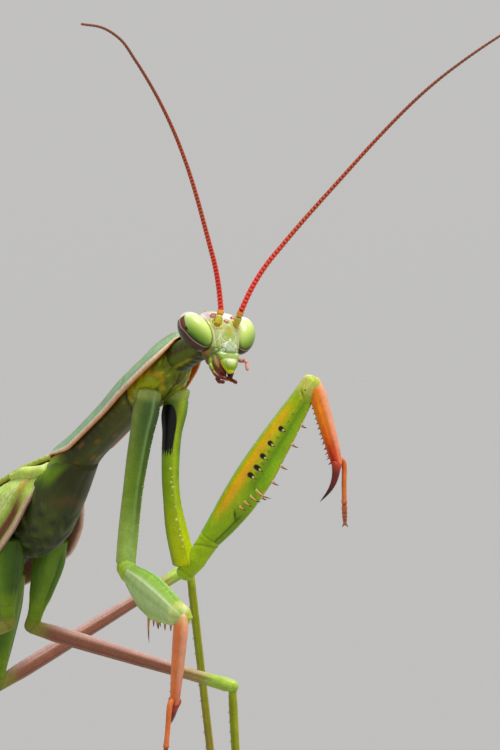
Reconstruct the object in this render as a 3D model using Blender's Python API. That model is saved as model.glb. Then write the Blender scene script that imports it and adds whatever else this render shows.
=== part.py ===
"""Praying mantis, a male European mantis standing on level ground, its left foreleg reaching out.

Blender 4.5, metres, +Z up. Run it with: blender --background --python part.py
The animal faces -Y, +X is its left side, and it stands on Z = 0. Shapes are built where they stand,
in millimetres, and the root empty then puts the middle of the whole animal's footprint at the origin.
A direction is (turn, rise): degrees from straight ahead towards the left side, and degrees above level.
"""

import math

import bmesh
import bpy
from mathutils import Matrix, Vector

MM = 0.001
GAP = 0.05                 # clearance between neighbouring plates, mm; a limb is only about 1 mm thick
SIDES = 10                 # points round a limb's section
THIN = 0.25                # half thickness of the thinnest feelers and feet, mm
LEAF = 0.5                 # thickness of a wing and of the neck shield, mm

# Head: the middle between the eyes, and how the head is held
HEAD_CENTRE = (0.18, 1.24, 33.98)
HEAD_YAW, HEAD_PITCH, HEAD_ROLL = -1.6, 13.0, 4.2
EYE_OUT = 1.73             # from the head's middle to the middle of an eye
EYE_RADII = (0.90, 1.00, 1.38)
EYE_LEAN_OUT, EYE_LEAN_BACK = 24.0, 20.0

# Trunk, in the plane of symmetry: (Y, Z)
SHIELD_FRONT, SHIELD_REAR = (4.3, 32.95), (18.9, 24.2)
WAIST, TAIL = (28.45, 19.4), (52.4, 8.6)
WING_ROOT, WING_SLOPE, WING_LENGTH = (17.9, 24.43), -24.3, 41.5
WING_HEIGHT = 1.65         # of the right forewing's arch over the back; the left one lies a layer higher
HINDWING_START, HINDWING_END = 6.2, 36.5
ROUND_TO = 72.0            # the angle round the body where a wing's tip closes
DROP = 0.04                # a forewing's edge hangs this far, mm, for each degree below the body's side
SPLAY = 0.06               # how far the hanging edge stands off for each mm that it hangs

# Forelegs, one row for each side: direction of coxa, femur, tibia and of the foot's first joint
FORE_HIP = (1.15, 6.6, 30.3)
COXA, FORE_FEMUR, FORE_TIBIA, CLAW = 11.2, 14.25, 5.4, 2.6
FORE_POSE = {
    "left": {"coxa": (52, -87), "femur": (43, 56), "tibia": (47, -73), "foot": (50, -89)},
    "right": {"coxa": (-130, -82), "femur": (-22, -9.6), "tibia": (170, -80), "foot": (-120, -85)},
}
COXA_BOW = 0.75            # how far the coxa curves back from straight
TROCHANTER = 2.3           # the short joint between coxa and femur, part of the femur's reach

# Standing legs: where the coxa starts, where the femur hinges, where the ankle stands, and where the toes point
STANDING = {
    "left_mid": {"hip": (1.75, 21.1, 20.3), "joint": (1.6, 23.5, 14.7), "ankle": (9.8, 11.4), "toes": 35},
    "right_mid": {"hip": (-1.75, 21.3, 20.3), "joint": (-1.4, 22.0, 15.0), "ankle": (-14.5, 25.0), "toes": -100},
    "left_hind": {"hip": (1.7, 25.9, 17.9), "joint": (1.36, 27.3, 10.6), "ankle": (18.2, 24.8), "toes": 115},
    "right_hind": {"hip": (-1.7, 25.9, 17.9), "joint": (-1.36, 27.3, 10.6), "ankle": (-9.0, 46.5), "toes": -150},
}
FEMUR = {"mid": 14.5, "hind": 16.6}
TIBIA = {"mid": 10.6, "hind": 18.0}
FOOT = {"mid": 4.6, "hind": 5.2}
ANKLE_HEIGHT = 0.42

# Antennae: where each base starts and ends on the head, and directions at equal steps from base to tip
ANTENNA_BASE = {
    "left": [(0.70, 1.05, 0.36), (0.68, 1.72, 1.10)],
    "right": [(-0.70, 1.05, 0.36), (-0.42, 1.12, 1.20)],
}
ANTENNA_LENGTH = {"left": 24.2, "right": 22.0}
ANTENNA = {
    "left": [(52, 68), (52, 51), (52, 48), (52, 48), (52, 45), (52, 37), (52, 32)],
    "right": [(-57, 79), (-63, 59), (-70, 63), (-77, 59), (-85, 54), (-93, 49), (-101, -2)],
}

PALETTE = {                # base colour and roughness of each kind of surface
    "shield": ((0.33, 0.52, 0.30), 0.45),
    "body": ((0.16, 0.24, 0.05), 0.5),
    "belly": ((0.38, 0.48, 0.16), 0.5),
    "head": ((0.50, 0.60, 0.30), 0.35),
    "eye": ((0.33, 0.60, 0.10), 0.15),
    "mouth": ((0.22, 0.07, 0.04), 0.35),
    "feeler": ((0.55, 0.10, 0.05), 0.4),
    "feeler_base": ((0.65, 0.50, 0.10), 0.4),
    "foreleg": ((0.25, 0.42, 0.06), 0.35),
    "fore_tibia": ((0.80, 0.30, 0.12), 0.35),
    "leg": ((0.36, 0.22, 0.15), 0.45),
    "hip": ((0.20, 0.34, 0.06), 0.45),
    "wing": ((0.38, 0.55, 0.14), 0.45),
    "hindwing": ((0.45, 0.40, 0.22), 0.4),
}


# ---- scene and materials

def clear_scene():
    for old in list(bpy.data.objects):
        bpy.data.objects.remove(old)


def new_collection(name):
    made = bpy.data.collections.new(name)
    bpy.context.scene.collection.children.link(made)
    return made


def surface(kind):
    """The Principled material of one kind of surface, made once."""
    if kind in bpy.data.materials:
        return bpy.data.materials[kind]
    colour, roughness = PALETTE[kind]
    made = bpy.data.materials.new(kind)
    made.use_nodes = True
    shader = made.node_tree.nodes["Principled BSDF"]
    shader.inputs["Base Color"].default_value = (*colour, 1.0)
    shader.inputs["Roughness"].default_value = roughness
    shader.inputs["Metallic"].default_value = 0.0
    return made


clear_scene()
PARTS = new_collection("praying_mantis")
CUTTERS = new_collection("cutters")
ROOT = bpy.data.objects.new("root", None)
PARTS.objects.link(ROOT)


def place(name, bm, kind, origin, collection=PARTS):
    """Puts a bmesh built in world millimetres into the scene, with its object's origin at the given point."""
    bmesh.ops.recalc_face_normals(bm, faces=bm.faces)
    bmesh.ops.translate(bm, verts=bm.verts, vec=-origin)
    bmesh.ops.scale(bm, verts=bm.verts, vec=(MM, MM, MM))
    mesh = bpy.data.meshes.new(name)
    bm.to_mesh(mesh)
    bm.free()
    mesh.shade_smooth()
    mesh.set_sharp_from_angle(angle=math.radians(40))
    mesh.materials.append(surface(kind))
    made = bpy.data.objects.new(name, mesh)
    made.location = origin * MM
    made.parent = ROOT
    collection.objects.link(made)
    return made


# ---- directions and sections

def aim(direction):
    turn, rise = (math.radians(angle) for angle in direction)
    return Vector((math.cos(rise) * math.sin(turn), -math.cos(rise) * math.cos(turn), math.sin(rise)))


def trunk(y_z, x=0.0):
    return Vector((x, y_z[0], y_z[1]))


def mirrored(point, side):
    return Vector((side * point[0], point[1], point[2]))


def oval(centre, across, up, half_width, above, below, count=SIDES, floor=None):
    """A closed section, half_width to each side, which may be deeper below its centre than above it."""
    points = []
    for i in range(count):
        angle = 2 * math.pi * (i + 0.5) / count
        height = math.sin(angle) * (above if math.sin(angle) > 0 else below)
        point = centre + across * half_width * math.cos(angle) + up * height
        if floor is not None:
            point.z = max(point.z, floor)
        points.append(point)
    return points


def loft(rings):
    """A closed skin over a row of sections that have the same number of points."""
    bm = bmesh.new()
    rows = [[bm.verts.new(point) for point in ring] for ring in rings]
    for row, after in zip(rows, rows[1:]):
        for i in range(len(row)):
            j = (i + 1) % len(row)
            bm.faces.new((row[i], row[j], after[j], after[i]))
    bm.faces.new(rows[0][::-1])
    bm.faces.new(rows[-1])
    return bm


def rounded(profile, length, start, end):
    """Adds a section that rounds off each end of a profile, start and end being how far the domes reach."""
    def dome(row, reach):
        angle = math.radians(55)
        return (row[0] + reach * math.sin(angle) / length, *(size * math.cos(angle) for size in row[1:]))
    return [dome(profile[0], -start), *profile, dome(profile[-1], end)]


def limb(name, kind, start, end, up, profile, bow=0.0, domes=(0.4, 0.4), count=SIDES, floor=None):
    """One straight or bowed joint of a limb.

    profile rows are (share of the length, half width, half depth above, half depth below); up is the
    direction of the limb's back, and bow lifts its middle that way.
    """
    along = end - start
    length = along.length
    along = along / length
    up = (up - along * up.dot(along)).normalized()
    across = along.cross(up)
    rings = []
    for share, half_width, above, below in rounded(profile, length, *domes):
        centre = start + along * length * share + up * bow * math.sin(math.pi * min(max(share, 0), 1))
        rings.append(oval(centre, across, up, half_width, above, below, count, floor))
    return place(name, loft(rings), kind, start)


def grown_copy(piece):
    """A cutter: the piece as first made, swollen by the clearance."""
    name = piece.name + "_clearance"
    if name in bpy.data.objects:
        return bpy.data.objects[name]
    bm = bmesh.new()
    bm.from_mesh(piece.data)
    bm.normal_update()
    for vert in bm.verts:
        vert.co += vert.normal * GAP * MM * vert.calc_shell_factor()
    mesh = bpy.data.meshes.new(name)
    bm.to_mesh(mesh)
    bm.free()
    cutter = bpy.data.objects.new(name, mesh)
    cutter.location = piece.location
    cutter.parent = ROOT
    cutter.hide_render = True
    cutter.display_type = "WIRE"
    CUTTERS.objects.link(cutter)
    return cutter


def fit(piece, *neighbours):
    """Cuts the piece back to the clearance from each neighbour."""
    for neighbour in neighbours:
        cut = piece.modifiers.new("clear of " + neighbour.name, "BOOLEAN")
        cut.operation = "DIFFERENCE"
        cut.object = grown_copy(neighbour)
    return piece


def join_to(piece, name, shapes):
    """Joins small closed shapes, given as one bmesh, to the piece they grow from."""
    small = place(name, shapes, piece.data.materials[0].name, Vector(piece.location) / MM, CUTTERS)
    small.hide_render = True
    small.display_type = "WIRE"
    union = piece.modifiers.new("with " + name, "BOOLEAN")
    union.operation = "UNION"
    union.object = small


def tube(name, kind, points, radii):
    """A feeler: a curve with a round bevel and filled caps."""
    curve = bpy.data.curves.new(name, "CURVE")
    curve.dimensions = "3D"
    curve.bevel_depth = MM
    curve.bevel_resolution = 2
    curve.use_fill_caps = True
    spline = curve.splines.new("POLY")
    spline.points.add(len(points) - 1)
    for control, point, radius in zip(spline.points, points, radii):
        control.co = (*((point - points[0]) * MM), 1.0)
        control.radius = radius
    spline.use_smooth = True
    curve.materials.append(surface(kind))
    made = bpy.data.objects.new(name, curve)
    made.location = points[0] * MM
    made.parent = ROOT
    PARTS.objects.link(made)
    return made


def cone_into(bm, base, tip, radius):
    """Adds one spine, a cone of four sides, to a bmesh."""
    along = tip - base
    turn = Vector((0, 0, 1)).rotation_difference(along).to_matrix().to_4x4()
    bmesh.ops.create_cone(
        bm, cap_ends=True, segments=4, radius1=radius, radius2=radius * 0.15, depth=along.length,
        matrix=Matrix.Translation((base + tip) / 2) @ turn,
    )


# ---- head

HEAD_FRAME = (
    Matrix.Translation(Vector(HEAD_CENTRE))
    @ Matrix.Rotation(math.radians(HEAD_YAW), 4, "Z")
    @ Matrix.Rotation(math.radians(-HEAD_PITCH), 4, "X")
    @ Matrix.Rotation(math.radians(HEAD_ROLL), 4, "Y")
)


def on_head(left, forward, up):
    """A point given from the middle of the head, as the head is held."""
    return HEAD_FRAME @ Vector((left, -forward, up))


def head_axis(left, forward, up):
    return (HEAD_FRAME.to_3x3() @ Vector((left, -forward, up))).normalized()


def make_eye(side, name):
    bm = bmesh.new()
    bmesh.ops.create_uvsphere(bm, u_segments=14, v_segments=9, radius=1.0)
    lean = Matrix.Rotation(math.radians(side * EYE_LEAN_OUT), 4, "Y") @ Matrix.Rotation(
        math.radians(-EYE_LEAN_BACK), 4, "X"
    )
    shape = HEAD_FRAME @ Matrix.Translation((side * EYE_OUT, 0, 0)) @ lean @ Matrix.Diagonal((*EYE_RADII, 1.0))
    bmesh.ops.transform(bm, matrix=shape, verts=bm.verts)
    return place(name, bm, "eye", on_head(side * EYE_OUT, 0, 0))


def make_head(eyes):
    """The capsule: triangular from the front, flat-topped, with a flat face; eyes sit in its upper corners."""
    sections = [           # height, half width, reach forward, reach back
        (1.42, 0.75, 0.10, 0.35),
        (1.30, 1.20, 0.35, 0.60),
        (0.90, 1.55, 0.85, 0.80),
        (0.35, 1.60, 1.12, 0.90),
        (-0.30, 1.42, 1.20, 0.90),
        (-0.85, 1.15, 1.22, 0.80),
        (-1.30, 0.90, 1.18, 0.62),
        (-1.60, 0.72, 1.12, 0.45),
        (-1.72, 0.55, 1.00, 0.30),
    ]
    left, back = head_axis(1, 0, 0), head_axis(0, -1, 0)
    rings = [
        oval(on_head(0, 0, height), left, back, half_width, rear, front, 12)
        for height, half_width, front, rear in sections
    ]
    head = place("head", loft(rings), "head", Vector(HEAD_CENTRE))
    return fit(head, *eyes)


def make_mouth(head):
    """Upper lip, jaws, palps and lower lip, hanging below the face."""
    front = head_axis(0, 1, 0)
    lip = limb(
        "upper_lip", "head", on_head(0, 0.98, -1.50), on_head(0, 1.02, -2.62), front,
        [(0.0, 0.62, 0.24, 0.24), (0.45, 0.64, 0.24, 0.24), (0.8, 0.46, 0.22, 0.22), (1.0, 0.22, 0.2, 0.2)],
        domes=(0.1, 0.18), count=8,
    )
    fit(lip, head)
    jaws = []
    for side, word in ((1, "left"), (-1, "right")):
        jaw = limb(
            word + "_jaw", "mouth", on_head(side * 0.58, 0.42, -1.35), on_head(side * 0.30, 0.62, -2.80), front,
            [(0.0, 0.30, 0.36, 0.36), (0.5, 0.30, 0.32, 0.32), (1.0, 0.20, 0.22, 0.22)],
            domes=(0.2, 0.25), count=8,
        )
        jaws.append(fit(jaw, head, lip))
    fit(jaws[0], jaws[1])
    under = limb(
        "lower_lip", "mouth", on_head(0, -0.25, -1.30), on_head(0, 0.10, -2.70), front,
        [(0.0, 0.55, 0.28, 0.28), (0.6, 0.50, 0.26, 0.26), (1.0, 0.34, 0.22, 0.22)], domes=(0.2, 0.2), count=8,
    )
    fit(under, head, *jaws)
    palps = {
        "right_jaw_palp": [(-0.90, 0.30, -1.62), (-1.00, 0.42, -2.2), (-0.86, 0.75, -2.90), (-0.55, 1.35, -3.25)],
        "left_jaw_palp": [(0.90, 0.30, -1.62), (1.10, 0.80, -1.85), (1.18, 1.15, -1.95), (1.16, 1.30, -2.60)],
        "right_lip_palp": [(-0.30, 0.02, -2.98), (-0.36, 0.30, -3.16), (-0.30, 0.75, -3.30)],
        "left_lip_palp": [(0.30, 0.02, -2.98), (0.42, 0.40, -3.08), (0.50, 1.05, -3.18)],
    }
    for name, places in palps.items():
        radii = [THIN] * (len(places) - 1) + [THIN * 0.8]
        tube(name, "mouth", [on_head(*spot) for spot in places], radii)
    return [lip, *jaws, under]


def antenna_path(word, start):
    """Points along the whip, found by walking it in equal steps."""
    steps = 15
    knots = [Vector(aim(direction)) for direction in ANTENNA[word]]
    spot = start
    points = [spot]
    for i in range(steps):
        place_along = (i + 0.5) / steps * (len(knots) - 1)
        first = int(place_along)
        heading = knots[first].lerp(knots[first + 1], place_along - first).normalized()
        spot = spot + heading * ANTENNA_LENGTH[word] / steps
        points.append(spot)
    return points


def make_antenna(word, head, eye):
    """Two short thick joints on the face, then the whip."""
    socket, top = (on_head(*spot) for spot in ANTENNA_BASE[word])
    base = limb(
        word + "_antenna_base", "feeler_base", socket, top, head_axis(0, 1, 0),
        [(0.0, 0.27, 0.27, 0.27), (0.52, 0.27, 0.27, 0.27), (0.62, 0.19, 0.19, 0.19),
         (0.70, 0.24, 0.24, 0.24), (1.0, 0.24, 0.24, 0.24)],
        domes=(0.05, 0.03), count=8,
    )
    fit(base, head, eye)
    rise = (top - socket).normalized() * (GAP + 0.02)
    points = antenna_path(word, top + rise)
    tube(word + "_antenna", "feeler", points, [THIN] * len(points))


# ---- trunk

def trunk_frame(front, rear):
    """Direction along the trunk and up from it, for a stretch between two points."""
    along = (trunk(rear) - trunk(front)).normalized()
    return along, Vector((1, 0, 0)).cross(along)


def make_shield():
    """The long neck shield: a low roof whose edges dip where it is widest, over the forelegs."""
    rows = [               # share of the length, half width, height of the ridge, how far the edges lie up
        (-0.01, 0.60, 1.28, 0.72),
        (0.02, 1.20, 1.48, 0.25),
        (0.08, 1.85, 1.52, -0.18),
        (0.17, 2.18, 1.42, -0.36),
        (0.24, 2.30, 1.46, -0.46),
        (0.30, 2.22, 1.52, -0.42),
        (0.38, 1.95, 1.56, -0.30),
        (0.50, 1.64, 1.48, -0.12),
        (0.70, 1.66, 1.38, -0.10),
        (0.78, 1.58, 1.42, 0.28),
        (0.85, 1.32, 1.48, 0.80),
        (0.91, 0.60, 1.50, 1.12),
    ]
    along, up = trunk_frame(SHIELD_FRONT, SHIELD_REAR)
    across = Vector((1, 0, 0))
    length = (trunk(SHIELD_REAR) - trunk(SHIELD_FRONT)).length
    half = 8
    rings = []
    for share, width, ridge, edge in rows:
        centre = trunk(SHIELD_FRONT) + along * length * share
        angles = [math.pi * i / (half - 1) for i in range(half)]
        roof = [(width * math.cos(a), edge + (ridge - edge) * math.sin(a)) for a in angles]
        low_width, low_edge = width * 0.86, edge - 0.16
        low_ridge = max(ridge - LEAF, low_edge + 0.05)
        lining = [(low_width * math.cos(a), low_edge + (low_ridge - low_edge) * math.sin(a)) for a in angles]
        rings.append([centre + across * x + up * z for x, z in roof + lining[::-1]])
    return place("neck_shield", loft(rings), "shield", trunk(SHIELD_FRONT))


def make_chest(shield, head):
    """What hangs under the shield: the neck, and the long front chest that carries the forelegs."""
    along, up = trunk_frame(SHIELD_FRONT, SHIELD_REAR)
    start = trunk(SHIELD_FRONT) + up * 0.2
    end = trunk(SHIELD_REAR) + up * 0.2
    chest = limb(
        "front_chest", "belly", start, end, up,
        [(0.05, 1.15, 0.8, 1.00), (0.12, 1.55, 0.9, 1.50), (0.22, 1.75, 0.9, 1.65), (0.32, 1.60, 0.9, 1.35),
         (0.42, 1.35, 0.9, 1.10), (0.68, 1.32, 0.9, 1.10), (0.88, 1.70, 0.9, 1.50), (0.965, 1.60, 0.8, 1.45)],
        domes=(0.3, 0.3), count=10,
    )
    fit(chest, shield)
    neck_start, neck_end = on_head(0, -0.55, -0.25), trunk(SHIELD_FRONT) + up * 0.25 + along * 1.3
    neck = limb(
        "neck", "belly", neck_start, neck_end, up,
        [(0.0, 0.85, 0.75, 0.80), (0.5, 1.02, 0.85, 0.95), (1.0, 1.10, 0.85, 1.10)], domes=(0.1, 0.1), count=10,
    )
    fit(neck, head, shield, chest)
    return chest


def make_rear_trunk(chest, shield):
    """Middle and rear chest, deep and boxy, with the abdomen in three lengths and the two tail feelers."""
    across = Vector((1, 0, 0))
    along, up = trunk_frame(WAIST, TAIL)

    def section(y, z, half_width, above, below):
        return oval(trunk((y, z)), across, up, half_width, above, below, 12)

    middle = place("middle_chest", loft([
        section(17.2, 24.7, 1.3, 0.7, 1.2),
        section(18.0, 24.35, 1.75, 0.95, 2.3),
        section(18.9, 24.0, 2.0, 1.0, 3.1),
        section(20.1, 23.4, 2.15, 1.10, 3.5),
        section(22.0, 22.6, 2.2, 1.15, 3.5),
        section(23.5, 21.9, 2.2, 0.70, 2.8),
    ]), "body", trunk((20.5, 23.4)))
    fit(middle, shield, chest)
    rear = place("rear_chest", loft([
        section(23.65, 21.8, 2.2, 0.48, 2.7),
        section(24.6, 21.35, 2.3, 0.48, 3.0),
        section(26.2, 20.6, 2.2, 0.50, 2.8),
        section(27.5, 20.0, 2.0, 0.52, 2.0),
        section(28.25, 19.6, 1.8, 0.55, 1.3),
    ]), "body", trunk((26.0, 21.0)))
    fit(rear, middle)

    rows = [               # share, half width, above, below
        (0.0, 1.75, 0.60, 1.2), (0.18, 1.86, 0.70, 1.42), (0.36, 1.92, 0.75, 1.45), (0.53, 1.92, 0.75, 1.45),
        (0.70, 1.88, 0.75, 1.35), (0.82, 1.70, 0.72, 1.2), (0.92, 1.25, 0.65, 0.95), (1.0, 0.55, 0.4, 0.5),
    ]
    length = (trunk(TAIL) - trunk(WAIST)).length
    step = GAP / length / 2
    for name, first, last in (("front", 0.0, 0.36), ("middle", 0.36, 0.70), ("rear", 0.70, 1.0)):
        rings = []
        for share, half_width, above, below in rows:
            if first <= share <= last:
                inside = min(max(share, first + step), last - step)
                centre = trunk(WAIST) + along * length * inside
                rings.append(oval(centre, across, up, half_width, above, below, 12))
        place(name + "_abdomen", loft(rings), "belly", trunk(WAIST) + along * length * first)
    for side, word in ((1, "left"), (-1, "right")):
        start = trunk(WAIST) + along * length * 0.95 + Vector((side * 1.30, 0, 0.25))
        points = [start + aim((180 - side * 14, -20)) * reach for reach in (0, 1.5, 3.0)]
        tube(word + "_tail_feeler", "belly", points, [THIN, THIN * 1.1, THIN])
    return middle, rear


def wing_plate(name, kind, side, start, reach, height, table, points):
    """A folded wing: a leaf that arches over the back and whose outer edge hangs down the side.

    table rows are (share of the length, half width of the body under it, share of the height, angle of the
    outer edge, angle of the inner edge). Angles are in degrees round the body, 0 at the wing's own side and
    90 on top, and below 0 the leaf hangs. The tip closes in a round end over the abdomen. points is how many
    points cross the leaf.
    """
    slope = math.radians(WING_SLOPE)
    along = Vector((0, math.cos(slope), math.sin(slope)))
    up = Vector((0, -math.sin(slope), math.cos(slope)))
    across = Vector((side, 0, 0))
    rings = []
    for share, half_width, lift, low, high in table:
        kept = 1.0 if share < 0.7 else max(0.12, math.sqrt(1 - ((share - 0.7) / 0.303) ** 2.6))
        low = ROUND_TO - (ROUND_TO - low) * kept
        high = ROUND_TO + (high - ROUND_TO) * kept
        centre = trunk(WING_ROOT) + along * (start + share * (reach - start))
        angles = [low + (high - low) * j / (points - 1) for j in range(points)]
        row = []
        for offset, order in ((LEAF / 2, 1), (-LEAF / 2, -1)):
            for angle in angles[::order]:
                hang = DROP * max(0.0, -angle)
                bend = math.radians(max(0.0, angle))
                out = (half_width + offset) * math.cos(bend) + SPLAY * hang
                row.append(centre + across * out + up * ((height * lift + offset) * math.sin(bend) - hang))
        rings.append(row)
    return place(name, loft(rings), kind, trunk(WING_ROOT) + along * start)


FOREWING = [               # share, half width, share of the height, angle of the outer edge, of the inner edge
    (0.0, 1.60, 0.80, 2, 96), (0.03, 2.15, 0.88, -26, 103), (0.07, 2.60, 0.96, -58, 109),
    (0.13, 2.85, 1.0, -78, 114), (0.22, 2.95, 1.0, -76, 116), (0.38, 2.95, 1.0, -57, 116),
    (0.7, 2.95, 1.0, -42, 116), (0.84, 2.95, 1.0, -40, 116), (0.94, 2.95, 1.0, -36, 116), (1.0, 2.95, 1.0, -36, 116),
]
HINDWING = [
    (0.0, 2.2, 0.9, 60, 82), (0.08, 2.2, 1.0, 40, 86), (0.7, 2.2, 1.0, 34, 86),
    (0.85, 2.2, 1.0, 34, 86), (0.95, 2.2, 1.0, 34, 86), (1.0, 2.2, 1.0, 34, 86),
]


def make_wings(*chest_pieces):
    """Right forewing over both hindwings, left forewing over all, so each layer clears the one below it."""
    layer = LEAF + 0.16
    for side, word in ((-1, "right"), (1, "left")):
        wing_plate(word + "_hindwing", "hindwing", side, HINDWING_START, HINDWING_END, WING_HEIGHT - layer, HINDWING, 5)
        height = WING_HEIGHT if side < 0 else WING_HEIGHT + layer
        wing = wing_plate(word + "_forewing", "wing", side, 0.0, WING_LENGTH, height, FOREWING, 7)
        fit(wing, *chest_pieces)


# ---- forelegs

def depth_at(profile, share):
    """How deep the belly of a limb is at a share of its length."""
    for row, after in zip(profile, profile[1:]):
        if share <= after[0]:
            blend = (share - row[0]) / (after[0] - row[0])
            return row[3] * (1 - blend) + after[3] * blend
    return profile[-1][3]


def spine_row(bm, start, end, belly, out, profile, count, size, shares, lean):
    """Adds a row of cones along a limb's belly, every second one shorter; out shifts the row to one side."""
    along = (end - start).normalized()
    for i in range(count):
        share = shares[0] + (shares[1] - shares[0]) * i / (count - 1)
        base = start.lerp(end, share) + belly * depth_at(profile, share) * 0.82 + out
        long = size * (1.0 if i % 2 == 0 else 0.65)
        heading = (belly + along * lean + out * 0.8).normalized()
        cone_into(bm, base, base + heading * (long + 0.15), 0.12)


def make_fore_coxa(word, hip, joint, hinge, ahead):
    """The long first joint, bowed back in the middle and thickest where it meets the chest."""
    end = joint - (joint - hip).normalized() * 0.35
    return limb(
        word + "_fore_coxa", "foreleg", hip, end, -ahead,
        [(0.0, 0.78, 0.85, 0.72), (0.10, 0.84, 0.88, 0.74), (0.25, 0.74, 0.64, 0.56), (0.42, 0.68, 0.58, 0.50),
         (0.60, 0.62, 0.50, 0.43), (0.83, 0.62, 0.66, 0.52), (1.0, 0.58, 0.70, 0.52)],
        bow=COXA_BOW, domes=(0.3, 0.3),
    )


def make_fore_femur(word, start, knee, hinge, belly):
    """The thick gripping joint, deepest before the middle, with rows of spines along its belly."""
    profile = [
        (0.0, 0.55, 0.55, 0.84), (0.12, 0.60, 0.66, 1.26), (0.28, 0.68, 0.82, 1.54), (0.42, 0.70, 0.88, 1.52),
        (0.58, 0.66, 0.84, 1.26), (0.75, 0.60, 0.74, 1.0), (0.90, 0.56, 0.62, 0.75), (1.0, 0.52, 0.60, 0.62),
    ]
    femur = limb(word + "_fore_femur", "foreleg", start, knee, -belly, profile, domes=(0.1, 0.42))
    spines = bmesh.new()
    spine_row(spines, start, knee, belly, hinge * 0.30, profile, 5, 0.60, (0.30, 0.84), 0.1)
    spine_row(spines, start, knee, belly, hinge * -0.30, profile, 7, 0.45, (0.34, 0.90), 0.1)
    spine_row(spines, start, knee, belly, hinge * 0.01, profile, 3, 1.20, (0.31, 0.45), 0.1)
    join_to(femur, word + "_femur_spines", spines)
    return femur


def make_fore_tibia(word, knee, wrist, hinge, belly):
    """The gripping shin: two rows of teeth along its belly and a long curved claw at its end."""
    along = (wrist - knee).normalized()
    start = knee + along * 0.1
    profile = [
        (0.0, 0.40, 0.50, 0.36), (0.15, 0.45, 0.62, 0.42), (0.5, 0.41, 0.56, 0.40), (0.85, 0.33, 0.42, 0.36),
        (1.0, 0.28, 0.30, 0.32),
    ]
    tibia = limb(word + "_fore_tibia", "fore_tibia", start, wrist, -belly, profile, domes=(0.4, 0.2))
    teeth = bmesh.new()
    for out in (0.2, -0.2):
        spine_row(teeth, start, wrist, belly, hinge * out, profile, 5, 0.32, (0.28, 0.9), 0.5)
    join_to(tibia, word + "_tibia_teeth", teeth)
    tip = wrist + (along * 0.75 + belly * 0.66).normalized() * CLAW
    join_to(tibia, word + "_tibia_claw", claw_shape(wrist - along * 0.15, tip, belly, hinge))
    return tibia


def claw_shape(start, end, belly, hinge):
    """The long claw on the fore tibia's tip, bent towards the belly side."""
    back = (end - start).normalized().cross(hinge)
    bulge = back if back.dot(belly) < 0 else -back
    steps = 5
    rings = []
    for i in range(steps + 1):
        share = i / steps
        centre = start.lerp(end, share) + bulge * 0.34 * math.sin(math.pi * share)
        size = 0.24 * (1 - share) + 0.05
        rings.append(oval(centre, hinge, bulge, size * 0.9, size, size, 6))
    return loft(rings)


def make_foreleg(word, side, chest):
    pose = FORE_POSE[word]
    hip = mirrored(FORE_HIP, side)
    joint = hip + aim(pose["coxa"]) * COXA
    along = aim(pose["femur"])
    knee = joint + along * FORE_FEMUR
    shin = aim(pose["tibia"])
    wrist = knee + shin * FORE_TIBIA
    hinge = along.cross(shin).normalized()
    belly = along.cross(hinge)
    belly = belly if belly.dot(shin) > 0 else -belly
    shin_belly = shin.cross(hinge)
    shin_belly = shin_belly if shin_belly.dot(along) < 0 else -shin_belly
    ahead = (along - aim(pose["coxa"]) * along.dot(aim(pose["coxa"]))).normalized()

    coxa = make_fore_coxa(word, hip, joint, hinge, ahead)
    trochanter = limb(
        word + "_fore_trochanter", "foreleg", joint, joint + along * TROCHANTER, -belly,
        [(0.0, 0.50, 0.50, 0.56), (0.35, 0.54, 0.54, 0.72), (1.0, 0.52, 0.55, 0.82)], domes=(0.5, 0.05), count=8,
    )
    femur = make_fore_femur(word, joint + along * (TROCHANTER + 0.15), knee, hinge, belly)
    tibia = make_fore_tibia(word, knee, wrist, hinge, shin_belly)
    fit(coxa, chest)
    fit(trochanter, coxa)
    fit(femur, trochanter)
    fit(tibia, femur)

    outer = hinge if hinge.x * side > 0 else -hinge
    heel = wrist - shin * 0.2 - shin_belly * 0.45 + outer * 0.42
    ankle = heel + aim(pose["foot"]) * 3.1
    toe = ankle + aim((140, -35)) * 1.9
    points = [heel, heel.lerp(ankle, 0.5), ankle, ankle.lerp(toe, 0.5), toe]
    tube(word + "_fore_foot", "fore_tibia", points, [THIN] * 5)


# ---- standing legs

def knee_of(joint, ankle, femur, tibia):
    """The knee of a standing leg: the upper of the two places where its lengths meet."""
    reach = ankle - joint
    along = reach.normalized()
    over = (Vector((0, 0, 1)) - along * along.z).normalized()
    share = (reach.length**2 + femur**2 - tibia**2) / (2 * reach.length)
    return joint + along * share + over * math.sqrt(femur**2 - share**2)


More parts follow.
